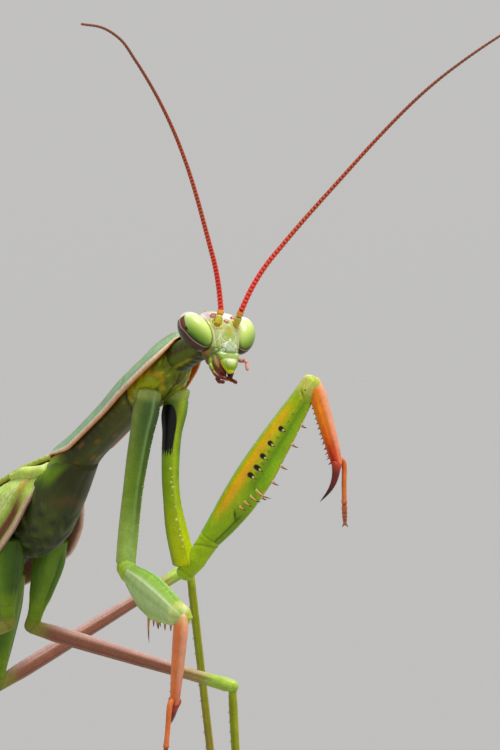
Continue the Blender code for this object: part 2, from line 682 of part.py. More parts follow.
def make_standing_leg(word, plan, bodies):
    kind = word.split("_")[1]
    hip, joint = Vector(plan["hip"]), Vector(plan["joint"])
    ankle = Vector((*plan["ankle"], ANKLE_HEIGHT))
    knee = knee_of(joint, ankle, FEMUR[kind], TIBIA[kind])
    outward = Vector((ankle.x - joint.x, ankle.y - joint.y, 0)).normalized()
    top = Vector((0, 0, 1))
    short = (joint - hip).normalized()
    coxa = limb(
        word + "_coxa", "hip", hip - short * 0.3, joint - short * 1.35, outward,
        [(0.0, 0.85, 0.85, 1.05), (0.3, 0.82, 0.98, 1.05), (0.75, 0.60, 0.72, 0.72), (1.0, 0.48, 0.52, 0.52)],
        domes=(0.3, 0.3),
    )
    trochanter = limb(
        word + "_trochanter", "hip", joint - short * 1.1, joint, outward,
        [(0.0, 0.42, 0.44, 0.44), (1.0, 0.50, 0.52, 0.52)], domes=(0.2, 0.42), count=8,
    )
    thigh, shin = (knee - joint).normalized(), (ankle - knee).normalized()
    femur = limb(
        word + "_femur", "leg", joint + thigh * 0.35, knee, top,
        [(0.0, 0.44, 0.48, 0.48), (0.15, 0.46, 0.54, 0.54), (0.5, 0.42, 0.47, 0.47), (0.85, 0.36, 0.40, 0.40),
         (0.97, 0.38, 0.43, 0.43)],
        domes=(0.02, 0.3), count=8,
    )
    tibia = limb(
        word + "_tibia", "leg", knee + shin * 0.3, ankle, outward,
        [(0.0, 0.27, 0.30, 0.30), (0.08, 0.30, 0.33, 0.33), (0.5, 0.28, 0.30, 0.30), (0.97, 0.27, 0.29, 0.29)],
        domes=(0.02, 0.2), count=8,
    )
    toes = aim((plan["toes"], 0))
    sole = Vector((ankle.x, ankle.y, THIN * 0.8))
    foot = limb(
        word + "_foot", "leg", sole - toes * 0.1, sole + toes * FOOT[kind], top,
        [(0.0, 0.27, 0.32, 0.32), (0.45, 0.26, 0.28, 0.28), (0.88, 0.30, 0.30, 0.30), (1.0, 0.26, 0.26, 0.26)],
        domes=(0.15, 0.15), count=8, floor=0.0,
    )
    fit(coxa, *bodies)
    fit(trochanter, coxa)
    fit(femur, trochanter)
    fit(tibia, femur, foot)
    return coxa


# ---- the whole animal

def stand_on_origin():
    """Moves the root so that the middle of the animal's box is over the origin and its soles are on Z = 0."""
    bpy.context.view_layer.update()
    graph = bpy.context.evaluated_depsgraph_get()
    corners = []
    for piece in PARTS.objects:
        if piece.type != "EMPTY":
            solid = piece.evaluated_get(graph)
            corners += [solid.matrix_world @ vert.co for vert in solid.to_mesh().vertices]
            solid.to_mesh_clear()
    low, high = (Vector(choose(point[i] for point in corners) for i in range(3)) for choose in (min, max))
    ROOT.location = (-(low.x + high.x) / 2, -(low.y + high.y) / 2, -low.z)


def main():
    eyes = {"left": make_eye(1, "left_eye"), "right": make_eye(-1, "right_eye")}
    head = make_head(eyes.values())
    make_mouth(head)
    for word, eye in eyes.items():
        make_antenna(word, head, eye)
    shield = make_shield()
    chest = make_chest(shield, head)
    middle, rear = make_rear_trunk(chest, shield)
    make_wings(chest, middle)
    make_foreleg("left", 1, chest)
    make_foreleg("right", -1, chest)
    coxae = {}
    for word, plan in STANDING.items():
        near = [middle, rear] if "mid" in word else [rear, middle]
        coxae[word] = make_standing_leg(word, plan, near)
    for word in ("left", "right"):
        fit(coxae[word + "_hind"], coxae[word + "_mid"])
    stand_on_origin()


main()
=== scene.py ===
"""The looks of a praying mantis, a male European mantis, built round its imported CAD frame.

Shapes are worked out in the animal's own millimetres (it faces -Y, +X is its left side, it stands on Z = 0)
and are moved onto the frame at the end. A direction is (turn, rise): degrees from straight ahead towards
the left side, and degrees above level. Colours are sRGB hex, as a person would pick them.
"""

import math

import bpy
import numpy as np
from mathutils import Matrix, Vector


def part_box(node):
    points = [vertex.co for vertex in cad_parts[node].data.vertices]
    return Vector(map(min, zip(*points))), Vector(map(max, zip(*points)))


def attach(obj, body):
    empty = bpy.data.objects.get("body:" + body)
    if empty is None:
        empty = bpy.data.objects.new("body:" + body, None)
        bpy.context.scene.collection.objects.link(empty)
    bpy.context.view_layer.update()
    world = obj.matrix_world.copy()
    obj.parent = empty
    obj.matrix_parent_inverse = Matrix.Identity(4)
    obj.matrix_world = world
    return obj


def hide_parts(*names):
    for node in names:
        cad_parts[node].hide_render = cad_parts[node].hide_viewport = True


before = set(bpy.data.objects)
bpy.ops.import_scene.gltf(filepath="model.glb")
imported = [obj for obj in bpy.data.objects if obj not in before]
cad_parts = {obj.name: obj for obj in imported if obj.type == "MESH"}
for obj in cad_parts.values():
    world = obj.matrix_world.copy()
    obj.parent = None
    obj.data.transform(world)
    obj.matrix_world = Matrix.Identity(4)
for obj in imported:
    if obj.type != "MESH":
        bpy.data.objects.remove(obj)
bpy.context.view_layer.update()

# Head: the middle between the eyes, and how the head is held
HEAD_CENTRE = np.array((0.18, 1.24, 33.98))
HEAD_YAW, HEAD_PITCH, HEAD_ROLL = -1.6, 13.0, 4.2
EYE_OUT = 1.73
EYE_RADII = (0.90, 1.00, 1.38)
EYE_LEAN_OUT, EYE_LEAN_BACK = 24.0, 20.0

# Trunk, in the plane of symmetry: (Y, Z)
SHIELD_FRONT, SHIELD_REAR = (4.3, 32.95), (18.9, 24.2)
WAIST, TAIL = (28.45, 19.4), (52.4, 8.6)
WING_ROOT, WING_SLOPE, WING_LENGTH = (17.9, 24.43), -24.3, 41.5
WING_HEIGHT = 1.65          # of the right forewing's roof; the left one is a layer above, the hindwings one below
WING_LAYER = 0.66
WING_THICK = 0.3
HINDWING_START, HINDWING_END = 6.2, 36.5
ROUND_TO = 72.0             # the angle towards which both edges of a wing draw in at its rounded tip
DROP, SPLAY = 0.04, 0.06    # how far a wing's hanging edge reaches down for each degree, and out for each mm

# Forelegs: direction of coxa, femur, tibia and of the foot's first joint
FORE_HIP = (1.15, 6.6, 30.3)
COXA, FORE_FEMUR, FORE_TIBIA, CLAW = 11.2, 14.25, 5.4, 2.6
FORE_POSE = {
    "left": {"coxa": (52, -87), "femur": (43, 56), "tibia": (47, -73), "foot": (50, -89)},
    "right": {"coxa": (-130, -82), "femur": (-22, -9.6), "tibia": (170, -80), "foot": (-120, -85)},
}
COXA_BOW, TROCHANTER = 0.75, 2.3

# Standing legs: where the coxa starts, the femur hinges, the ankle stands, and where the toes point
STANDING = {
    "left_mid": {"hip": (1.75, 21.1, 20.3), "joint": (1.6, 23.5, 14.7), "ankle": (9.8, 11.4), "toes": 35},
    "right_mid": {"hip": (-1.75, 21.3, 20.3), "joint": (-1.4, 22.0, 15.0), "ankle": (-14.5, 25.0), "toes": -100},
    "left_hind": {"hip": (1.7, 25.9, 17.9), "joint": (1.36, 27.3, 10.6), "ankle": (18.2, 24.8), "toes": 115},
    "right_hind": {"hip": (-1.7, 25.9, 17.9), "joint": (-1.36, 27.3, 10.6), "ankle": (-9.0, 46.5), "toes": -150},
}
FEMUR = {"mid": 14.5, "hind": 16.6}
TIBIA = {"mid": 10.6, "hind": 18.0}
FOOT = {"mid": 4.6, "hind": 5.2}
ANKLE_HEIGHT = 0.42

ANTENNA_BASE = {
    "left": [(0.70, 1.05, 0.36), (0.68, 1.72, 1.10)],
    "right": [(-0.70, 1.05, 0.36), (-0.42, 1.12, 1.20)],
}
ANTENNA_LENGTH = {"left": 24.2, "right": 22.0}
ANTENNA = {
    "left": [(52, 68), (52, 51), (52, 48), (52, 48), (52, 45), (52, 37), (52, 32)],
    "right": [(-57, 79), (-63, 59), (-70, 63), (-77, 59), (-85, 54), (-93, 49), (-101, -2)],
}

MM = 0.001                  # metres
UP = np.array((0.0, 0.0, 1.0))
SIDEWAYS = np.array((1.0, 0.0, 0.0))
TOP, UNDER = 90, 270        # angles round a limb: the side that its own up points to, and the one below


# ---- places and directions

def vec(*values):
    return np.array(values, float)


def unit(direction):
    return direction / np.linalg.norm(direction)


def aim(direction):
    """The unit vector of a direction (turn, rise)."""
    turn, rise = (math.radians(angle) for angle in direction)
    return vec(math.cos(rise) * math.sin(turn), -math.cos(rise) * math.cos(turn), math.sin(rise))


def trunk(y_z):
    """A place in the trunk's plane of symmetry."""
    return vec(0.0, *y_z)


HEAD_TURN = np.array(
    Matrix.Rotation(math.radians(HEAD_YAW), 3, "Z")
    @ Matrix.Rotation(math.radians(-HEAD_PITCH), 3, "X")
    @ Matrix.Rotation(math.radians(HEAD_ROLL), 3, "Y")
)


def on_head(left, forward, up):
    """Points given from the middle of the head, as the head is held."""
    local = np.stack(np.broadcast_arrays(left, -np.asarray(forward), up), axis=-1)
    return HEAD_CENTRE + local @ HEAD_TURN.T


def head_axis(left, forward, up):
    """A direction given as the head is held."""
    return unit(HEAD_TURN @ vec(left, -forward, up))


def middle_of(node):
    """The middle of a CAD node's box, in mm."""
    low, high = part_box(node)
    return (np.array(low) + np.array(high)) / 2 / MM


OFFSET = (middle_of("left_eye") + middle_of("right_eye")) / 2 - HEAD_CENTRE


# ---- smooth tables, masks and colours

def flow(table, at):
    """Values of a table of rows (position, value, ...) at the given positions, on smooth curves through its rows."""
    rows = np.array(table, float)
    x, y = rows[:, 0], rows[:, 1:]
    at = np.clip(np.asarray(at, float), x[0], x[-1])
    rise = np.diff(y, axis=0) / np.diff(x)[:, None]
    lean = np.zeros_like(y)
    same = rise[:-1] * rise[1:] > 0
    total = rise[:-1] + rise[1:]
    lean[1:-1] = np.where(same, 2 * rise[:-1] * rise[1:] / np.where(total == 0, 1, total), 0)
    lean[0], lean[-1] = rise[0], rise[-1]
    i = np.clip(np.searchsorted(x, at, side="right") - 1, 0, len(x) - 2)
    span = (x[i + 1] - x[i])[..., None]
    t = ((at - x[i])[..., None]) / span
    return (
        (2 * t**3 - 3 * t**2 + 1) * y[i] + (t**3 - 2 * t**2 + t) * span * lean[i]
        + (3 * t**2 - 2 * t**3) * y[i + 1] + (t**3 - t**2) * span * lean[i + 1]
    )


def step(value, low, high):
    """0 below low, 1 above high, smooth between."""
    t = np.clip((value - low) / (high - low), 0, 1)
    return t * t * (3 - 2 * t)


def fade(value, low, high):
    """1 below low, 0 above high, smooth between."""
    return 1 - step(value, low, high)


def bell(value, middle, width):
    """1 at the middle, falling off smoothly to either side."""
    return np.exp(-(((value - middle) / width) ** 2))


def away(angle, middle):
    """Degrees between two directions round a limb, from -180 to 180."""
    return (angle - middle + 180) % 360 - 180


def aside(angle, middle):
    """Degrees from a direction round a limb, to whichever side."""
    return np.abs(away(angle, middle))


def near(angle, middle, width):
    """1 in a direction round a limb, falling off smoothly over a width in degrees."""
    return bell(away(angle, middle), 0, width)


VIVID = 1.12                # how much purer the pigments are than the colour they look in light


def tone(code):
    """The light a pigment gives back, from its sRGB hex code; one that is worked out already stays."""
    if not isinstance(code, str):
        return code
    srgb = np.array([int(code[i:i + 2], 16) / 255 for i in (0, 2, 4)])
    linear = np.where(srgb <= 0.04045, srgb / 12.92, ((srgb + 0.055) / 1.055) ** 2.4)
    grey = linear @ np.array((0.2126, 0.7152, 0.0722))
    return np.clip(grey + (linear - grey) * VIVID, 0, 1)


def mix(first, second, share):
    """Two colours mixed; share is how much there is of the second."""
    share = np.asarray(share)[..., None]
    return tone(first) * (1 - share) + tone(second) * share


def paint(base, *coats):
    """A base colour under coats of (colour, how much of it)."""
    for colour, share in coats:
        base = mix(base, colour, share)
    return base


# ---- meshes

class Clay:
    """Grids of points gathered into one mesh that carries its own colours."""

    def __init__(self):
        self.points, self.tints, self.faces, self.kinds, self.count = [], [], [], [], 0

    def add(self, points, tint, faces, kind):
        self.points.append(points)
        self.tints.append(np.broadcast_to(tint, points.shape))
        self.faces += faces
        self.kinds += [kind] * len(faces)
        self.count += len(points)

    def grid(self, grid, tint, kind=0, closed=True, caps=True):
        """A sheet of rows of points; a closed sheet joins round, and caps fill its first and last rings."""
        rows, columns = grid.shape[:2]
        tint = np.broadcast_to(tone(tint), grid.shape)
        index = self.count + np.arange(rows * columns).reshape(rows, columns)
        right = np.roll(index, -1, axis=1) if closed else index[:, 1:]
        left = index if closed else index[:, :-1]
        faces = np.stack([left[:-1], right[:-1], right[1:], left[1:]], axis=-1).reshape(-1, 4).tolist()
        points, tints = grid.reshape(-1, 3), tint.reshape(-1, 3)
        if closed and caps:
            first, last = self.count + rows * columns, self.count + rows * columns + 1
            ring, final = index[0], index[-1]
            faces += [[first, ring[(j + 1) % columns], ring[j]] for j in range(columns)]
            faces += [[last, final[j], final[(j + 1) % columns]] for j in range(columns)]
            points = np.vstack([points, grid[0].mean(0), grid[-1].mean(0)])
            tints = np.vstack([tints, tint[0].mean(0), tint[-1].mean(0)])
        self.add(points, tints, faces, kind)

    def object(self, name, materials, replaced):
        """Puts the mesh on the frame, in metres, riding on the animal's one body."""
        points = (np.vstack(self.points) + OFFSET) * MM
        mesh = bpy.data.meshes.new(name)
        mesh.from_pydata(points.tolist(), [], self.faces)
        mesh.polygons.foreach_set("material_index", self.kinds)
        mesh.shade_smooth()
        colours = mesh.color_attributes.new("tint", "FLOAT_COLOR", "POINT")
        flat = np.hstack([np.vstack(self.tints), np.ones((self.count, 1))]).astype(np.float32)
        colours.data.foreach_set("color", flat.ravel())
        for material in materials:
            mesh.materials.append(material)
        mesh.update()
        made = bpy.data.objects.new(name, mesh)
        bpy.context.scene.collection.objects.link(made)
        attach(made, "root")
        if replaced:
            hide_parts(*replaced)
        return made


def ring_angles(count):
    return np.arange(count) * 360 / count


class Joint:
    """One straight or bowed joint of a limb, with its own directions: along, back (up) and across."""

    def __init__(self, start, end, up, bow=0.0):
        self.start, self.end, self.bow = start, end, bow
        self.length = np.linalg.norm(end - start)
        self.along = (end - start) / self.length
        self.up = unit(up - self.along * np.dot(up, self.along))
        self.across = np.cross(self.along, self.up)

    def centre(self, share):
        share = np.asarray(share, float)[..., None]
        lift = self.bow * np.sin(math.pi * np.clip(share, 0, 1))
        return self.start + self.along * self.length * share + self.up * lift

    def skin(self, table, domes=(0.4, 0.4), rows=90, columns=56, power=2.0, relief=None):
        """The grid of a skin round the joint, and the share and angle of each of its points.

        table rows are (share, half width, half depth above, half depth below); relief(share, angle) is how
        far the skin stands out, in mm. Angles run from 0 to 360, by way of TOP and UNDER.
        """
        first, last = table[0][0], table[-1][0]
        bend = np.radians(np.linspace(88, 0, 12)[:-1])
        share = np.concatenate([
            first - domes[0] * np.sin(bend) / self.length,
            np.linspace(first, last, rows),
            last + domes[1] * np.sin(bend[::-1]) / self.length,
        ])
        scale = np.concatenate([np.cos(bend), np.ones(rows), np.cos(bend[::-1])])
        width, above, below = (flow(table, share) * scale[:, None]).T
        angle = np.broadcast_to(ring_angles(columns), (len(share), columns))
        share = np.broadcast_to(share[:, None], angle.shape)
        turn = np.radians(angle)
        c, s = np.cos(turn), np.sin(turn)
        x = np.sign(c) * np.abs(c) ** (2 / power) * width[:, None]
        z = np.sign(s) * np.abs(s) ** (2 / power) * np.where(s > 0, above[:, None], below[:, None])
        if relief is not None:
            grow = relief(share, angle) * scale[:, None]
            x, z = x + c * grow, z + s * grow
        grid = self.centre(share) + self.across * x[..., None] + self.up * z[..., None]
        return grid, share, angle

    def spot(self, table, share, angle, out=0.0):
        """The point on the skin at a share and angle, and the direction out of it."""
        width, above, below = flow(table, share)
        turn = math.radians(angle)
        depth = above if math.sin(turn) > 0 else below
        outward = unit(self.across * math.cos(turn) / width + self.up * math.sin(turn) / depth)
        point = self.centre(share) + self.across * width * math.cos(turn) + self.up * depth * math.sin(turn)
        return point + outward * out, outward


def square_to(along):
    """A direction square to another one."""
    return unit(np.cross(along, UP if abs(along[2]) < 0.9 else SIDEWAYS))


def dome(place, size, right, over, out, reach, rings, columns, height=1.0):
    """A round dome of points that swells out of a place, from near its top to reach degrees away from it."""
    turn = np.radians(ring_angles(columns))[None]
    rise = np.radians(np.linspace(*reach, rings))[:, None]
    return place + size * (
        (np.sin(rise) * np.cos(turn))[..., None] * right + (np.sin(rise) * np.sin(turn))[..., None] * over
        + (height * np.cos(rise) * np.ones_like(turn))[..., None] * out
    ), rise


def spine(clay, base, tip, radius, foot, shaft, point, kind=0, bend=None, sides=10):
    """A tapered spine from base to tip, coloured from its foot to its point, curved towards bend."""
    along = unit(tip - base)
    side = square_to(along)
    other = np.cross(along, side)
    t = np.linspace(0, 1, 9)
    size = radius * (1 - t) ** 0.8 * (1 + 0.35 * np.exp(-t * 9)) + radius * 0.05
    centre = base + (tip - base) * t[:, None]
    if bend is not None:
        centre = centre + bend * np.sin(math.pi * t)[:, None]
    turn = np.radians(ring_angles(sides))
    ring = side * np.cos(turn)[:, None] + other * np.sin(turn)[:, None]
    grid = centre[:, None] + ring[None] * size[:, None, None]
    tint = paint(foot, (shaft, step(t, 0.08, 0.30)), (point, step(t, 0.45, 0.78)))
    clay.grid(grid, tint[:, None], kind)


def tube_grid(points, radii, columns=20):
    """Rings round a path, each square to it, without twisting."""
    points = np.asarray(points)
    heading = np.gradient(points, axis=0)
    heading /= np.linalg.norm(heading, axis=1)[:, None]
    side = square_to(heading[0])
    rings = []
    turn = np.radians(ring_angles(columns))
    for point, along, radius in zip(points, heading, radii):
        side = unit(side - along * np.dot(side, along))
        other = np.cross(along, side)
        rings.append(point + radius * (side * np.cos(turn)[:, None] + other * np.sin(turn)[:, None]))
    return np.array(rings)


def smooth_path(knots, count):
    """A smooth curve through knots, read at equal shares of its length."""
    knots = np.asarray(knots, float)
    reach = np.concatenate([[0], np.cumsum(np.linalg.norm(np.diff(knots, axis=0), axis=1))])
    padded = np.vstack([2 * knots[0] - knots[1], knots, 2 * knots[-1] - knots[-2]])
    at = np.linspace(0, reach[-1], count)
    i = np.clip(np.searchsorted(reach, at, side="right") - 1, 0, len(knots) - 2)
    t = ((at - reach[i]) / (reach[i + 1] - reach[i]))[:, None]
    a, b, c, d = padded[i], padded[i + 1], padded[i + 2], padded[i + 3]
    return 0.5 * (2 * b + (c - a) * t + (2 * a - 5 * b + 4 * c - d) * t**2 + (3 * b - a - 3 * c + d) * t**3)


# ---- materials

def new_material(name):
    made = bpy.data.materials.new(name)
    made.use_nodes = True
    return made, made.node_tree, made.node_tree.nodes["Principled BSDF"]


def fill(made, **values):
    """Sets a node's own settings, and its sockets' values by their names with _ for a blank."""
    for key, value in values.items():
        if hasattr(made, key):
            setattr(made, key, value)
        else:
            made.inputs[key.replace("_", " ")].default_value = value
    return made


def node(tree, kind, **values):
    return fill(tree.nodes.new(kind), **values)


BLOTCHES, CELLS = 0.16, 1.4         # scale of a cuticle's blotches and of its cells, for a speck's scale of 1
NOISE_REACH = (0.32, 0.68)          # the values between which a noise texture mostly moves
PIT_DEPTH = 0.00002
GLOW_DEPTH = 0.0005                 # how far light passes into the cuticle, in metres
GLOW_COLOUR = (1.0, 0.9, 0.35)


def cuticle(name, rough=0.42, coat=0.25, glow=0.15, grain=0.5, mottle=0.22, bump=0.35, fine=9000.0):
    """Insect skin: painted colour under fine mottling, a pitted waxy surface, light passing a little way in."""
    made, tree, shader = new_material(name)
    link = tree.links.new
    place = node(tree, "ShaderNodeTexCoord")
    pigment = node(tree, "ShaderNodeAttribute", attribute_name="tint")
    cloud = node(tree, "ShaderNodeTexNoise", Scale=fine * BLOTCHES, Detail=5.0, Roughness=0.6)
    speck = node(tree, "ShaderNodeTexNoise", Scale=fine, Detail=3.0, Roughness=0.55)
    cells = node(tree, "ShaderNodeTexVoronoi", Scale=fine * CELLS)
    for texture in (cloud, speck, cells):
        link(place.outputs["Object"], texture.inputs["Vector"])
    both = node(tree, "ShaderNodeMix", data_type="FLOAT")
    both.inputs[0].default_value = grain
    link(cloud.outputs["Fac"], both.inputs[2])
    link(speck.outputs["Fac"], both.inputs[3])
    light = node(tree, "ShaderNodeMapRange", From_Min=NOISE_REACH[0], From_Max=NOISE_REACH[1],
                 To_Min=1 - mottle, To_Max=1 + mottle)
    link(both.outputs[0], light.inputs["Value"])
    tinted = node(tree, "ShaderNodeVectorMath", operation="SCALE")
    link(pigment.outputs["Color"], tinted.inputs[0])
    link(light.outputs["Result"], tinted.inputs["Scale"])
    link(tinted.outputs["Vector"], shader.inputs["Base Color"])
    sheen = node(tree, "ShaderNodeMapRange", To_Min=rough - 0.10, To_Max=rough + 0.14)
    link(speck.outputs["Fac"], sheen.inputs["Value"])
    link(sheen.outputs["Result"], shader.inputs["Roughness"])
    height = node(tree, "ShaderNodeMath", operation="MULTIPLY_ADD")
    height.inputs[1].default_value = 0.6
    link(cells.outputs["Distance"], height.inputs[0])
    link(speck.outputs["Fac"], height.inputs[2])
    relief = node(tree, "ShaderNodeBump", Strength=bump, Distance=PIT_DEPTH)
    link(height.outputs["Value"], relief.inputs["Height"])
    link(relief.outputs["Normal"], shader.inputs["Normal"])
    fill(shader, Coat_Weight=coat, Coat_Roughness=0.22, IOR=1.48, Specular_IOR_Level=0.28,
         Subsurface_Weight=glow, Subsurface_Radius=GLOW_COLOUR, Subsurface_Scale=GLOW_DEPTH)
    return made


SKIN = cuticle("skin", coat=0.08)
LEG_SKIN = cuticle("leg_skin", rough=0.38, coat=0.14, glow=0.22)
PLATE = cuticle("plate", rough=0.45, coat=0.08, glow=0.12, bump=0.5)
FACE = cuticle("face", rough=0.30, coat=0.25, glow=0.25, mottle=0.12, bump=0.2)
MOUTH = cuticle("mouth", rough=0.28, coat=0.25, glow=0.1, mottle=0.3)
FEELER = cuticle("feeler", rough=0.34, coat=0.15, glow=0.2, mottle=0.15)
HORN = cuticle("horn", rough=0.22, coat=0.5, glow=0.1, mottle=0.1, bump=0.1)
EYE = cuticle("eye", rough=0.26, coat=0.35, glow=0.25, grain=0.9, mottle=0.05, bump=0.12, fine=22000.0)
LEAF = cuticle("leaf", rough=0.45, coat=0.06, glow=0.2, bump=0.6, fine=5000.0)


# ---- eyes

def eye_ball(ball, side):
    """Points of an eye from points of a unit ball, from the middle of the head."""
    lean = np.array(
        Matrix.Rotation(math.radians(side * EYE_LEAN_OUT), 3, "Y")
        @ Matrix.Rotation(math.radians(-EYE_LEAN_BACK), 3, "X")
    )
    return (ball * np.array(EYE_RADII)) @ lean.T + vec(side * EYE_OUT, 0, 0), lean


def eye_depth(left, forward, up, side):
    """How far out from an eye's middle a point of the head lies: 1 on the eye's own surface."""
    _, lean = eye_ball(np.zeros(3), side)
    local = np.stack(np.broadcast_arrays(left - side * EYE_OUT, -np.asarray(forward), up), axis=-1)
    return np.linalg.norm(local @ lean / np.array(EYE_RADII), axis=-1)


def make_eye(side, word):
    """A dome of an eye, green in front with painted light, painted highlights and painted shade, a dark patch and
    spot, its rims, and olive behind.
    """
    polar = np.radians(np.linspace(1.2, 178.8, 130))[:, None]
    turn = np.radians(ring_angles(180))[None]
    ball = np.stack(np.broadcast_arrays(
        np.sin(polar) * np.cos(turn), -np.sin(polar) * np.sin(turn), np.cos(polar)
    ), axis=-1)
    outer, ahead, above = side * ball[..., 0], -ball[..., 1], ball[..., 2]
    local, _ = eye_ball(ball, side)
    # Painted light: the eye's green turns lighter towards its upper front, away from its outer side, as the light
    # falls.
    light = step(0.50 * above + 0.25 * ahead - 0.70 * outer, -0.66, 0.42)
    border = 0.43 + 0.12 * step(above, 0.0, 0.5) - 0.16 * step(-above, 0.7, 1.0)
    line = 0.31 - 0.17 * step(above, 0.0, 0.5) - 0.08 * step(-above, 0.7, 1.0)
    behind = fade(ahead, border - 0.04, border + 0.02)
    patch = np.hypot((ahead - 0.42) / 0.13, (above - 0.50) / 0.24)
    pupil = np.hypot((ahead - 0.49) / 0.065, (above - 0.19) / 0.11)
    tint = paint(
        "6E981C",
        ("DCF090", light),
        # Painted shade: darker green low on the eye's outer side.
        ("3C5A08", 0.8 * step(outer - 0.35 * above, 0.72, 1.0)),
        # Painted highlights: a broad pale zone high on the eye's inner front, and near white at its top.
        ("F4FAD2", 0.8 * step(0.60 * above + 0.25 * ahead - 0.65 * outer, 0.12, 0.80)),
        ("FCFEF2", 0.8 * step(above + 0.25 * ahead - 0.3 * outer, 0.66, 0.95) * step(ahead, 0.50, 0.70)),
        ("A8C8A8", 0.6 * bell(np.hypot(above - 0.50, outer - 0.60), 0, 0.16)),
        ("2E4408", 0.9 * bell(ahead, border + 0.01, 0.08) * step(-above, -0.15, 0.35)),
        (mix("241608", "5A2C1A", step(above, -0.1, 0.5)), behind),
        ("4A2416", fade(ahead, line - 0.05, line)),
        ("35200E", fade(ahead, line - 0.40, line - 0.25)),
        ("CDB89C", 0.9 * bell(ahead, line, 0.026 + 0.03 * step(above, 0.2, 0.6))),
        # Painted highlight: a near-white line along the top of the eye, behind its dark rim.
        ("F4EEE4", 0.9 * step(above + 0.10 * ahead, 0.80, 0.88) * fade(ahead, 0.50, 0.72)
         * step(ahead, -0.34, -0.10)),
        (mix("6E7E30", "8FA24C", step(above, -0.3, 0.6)), fade(ahead, -0.62, -0.34)),
        ("8A3A28", 0.95 * fade(patch, 0.6, 1.1) * step(outer, 0.3, 0.6)),
        ("0A0C06", fade(pupil, 0.6, 1.2) * step(outer, 0, 0.3)),
    )
    grid = HEAD_CENTRE + local @ HEAD_TURN.T
    clay = Clay()
    clay.grid(grid, tint)
    clay.object(word + "_eye_dome", [EYE], [word + "_eye"])


# ---- head

HEAD_TABLE = [              # height, half width, depth of the face, depth behind
    (-1.72, 0.70, 1.10, 0.44), (-1.60, 0.92, 1.20, 0.62), (-1.30, 1.12, 1.28, 0.78), (-0.85, 1.28, 1.28, 0.88),
    (-0.30, 1.46, 1.22, 0.90), (0.35, 1.60, 1.13, 0.90), (0.62, 1.60, 0.98, 0.88), (0.90, 1.55, 0.66, 0.80),
    (1.20, 1.28, 0.35, 0.64), (1.38, 0.80, 0.14, 0.38),
]
SOCKET = (0.70, 0.40)       # left or right, and height, of an antenna's socket on the face
OCELLI = [(-0.05, 0.50, 0.17), (0.78, 0.84, 0.22), (-0.68, 0.86, 0.28)]
FACE_SEAMS = [              # fine raised lines of one half of the face, from and to (left, height)
    ((0.62, 0.05), (0.66, -0.60)), ((0.66, -0.60), (0.62, -0.98)), ((0.0, -0.72), (0.62, -0.98)),
    ((0.62, -0.98), (0.50, -1.50)), ((0.95, 0.15), (0.86, -1.00)), ((0.16, 0.95), (0.24, 1.34)),
    ((0.86, -1.00), (0.95, -1.55)), ((0.50, -0.20), (0.90, -0.75)),
]
FACE_BLISTERS = [(0.52, -1.40, 0.18), (0.88, -1.32, 0.16)]


def face_depth(left, up):
    """How far forward the face lies at a place on it."""
    width, front, _ = flow(HEAD_TABLE, up)[..., :3].T
    return front.T * np.sqrt(np.clip(1 - (left / width.T) ** 2, 0, 1))


def stroke(x, z, start, end, width):
    """1 on the straight line from start to end on the face, fading out over its width."""
    (x0, z0), (x1, z1) = start, end
    dx, dz = x1 - x0, z1 - z0
    t = np.clip(((x - x0) * dx + (z - z0) * dz) / (dx * dx + dz * dz), 0, 1)
    return bell(np.hypot(x - x0 - dx * t, z - z0 - dz * t), 0, width)


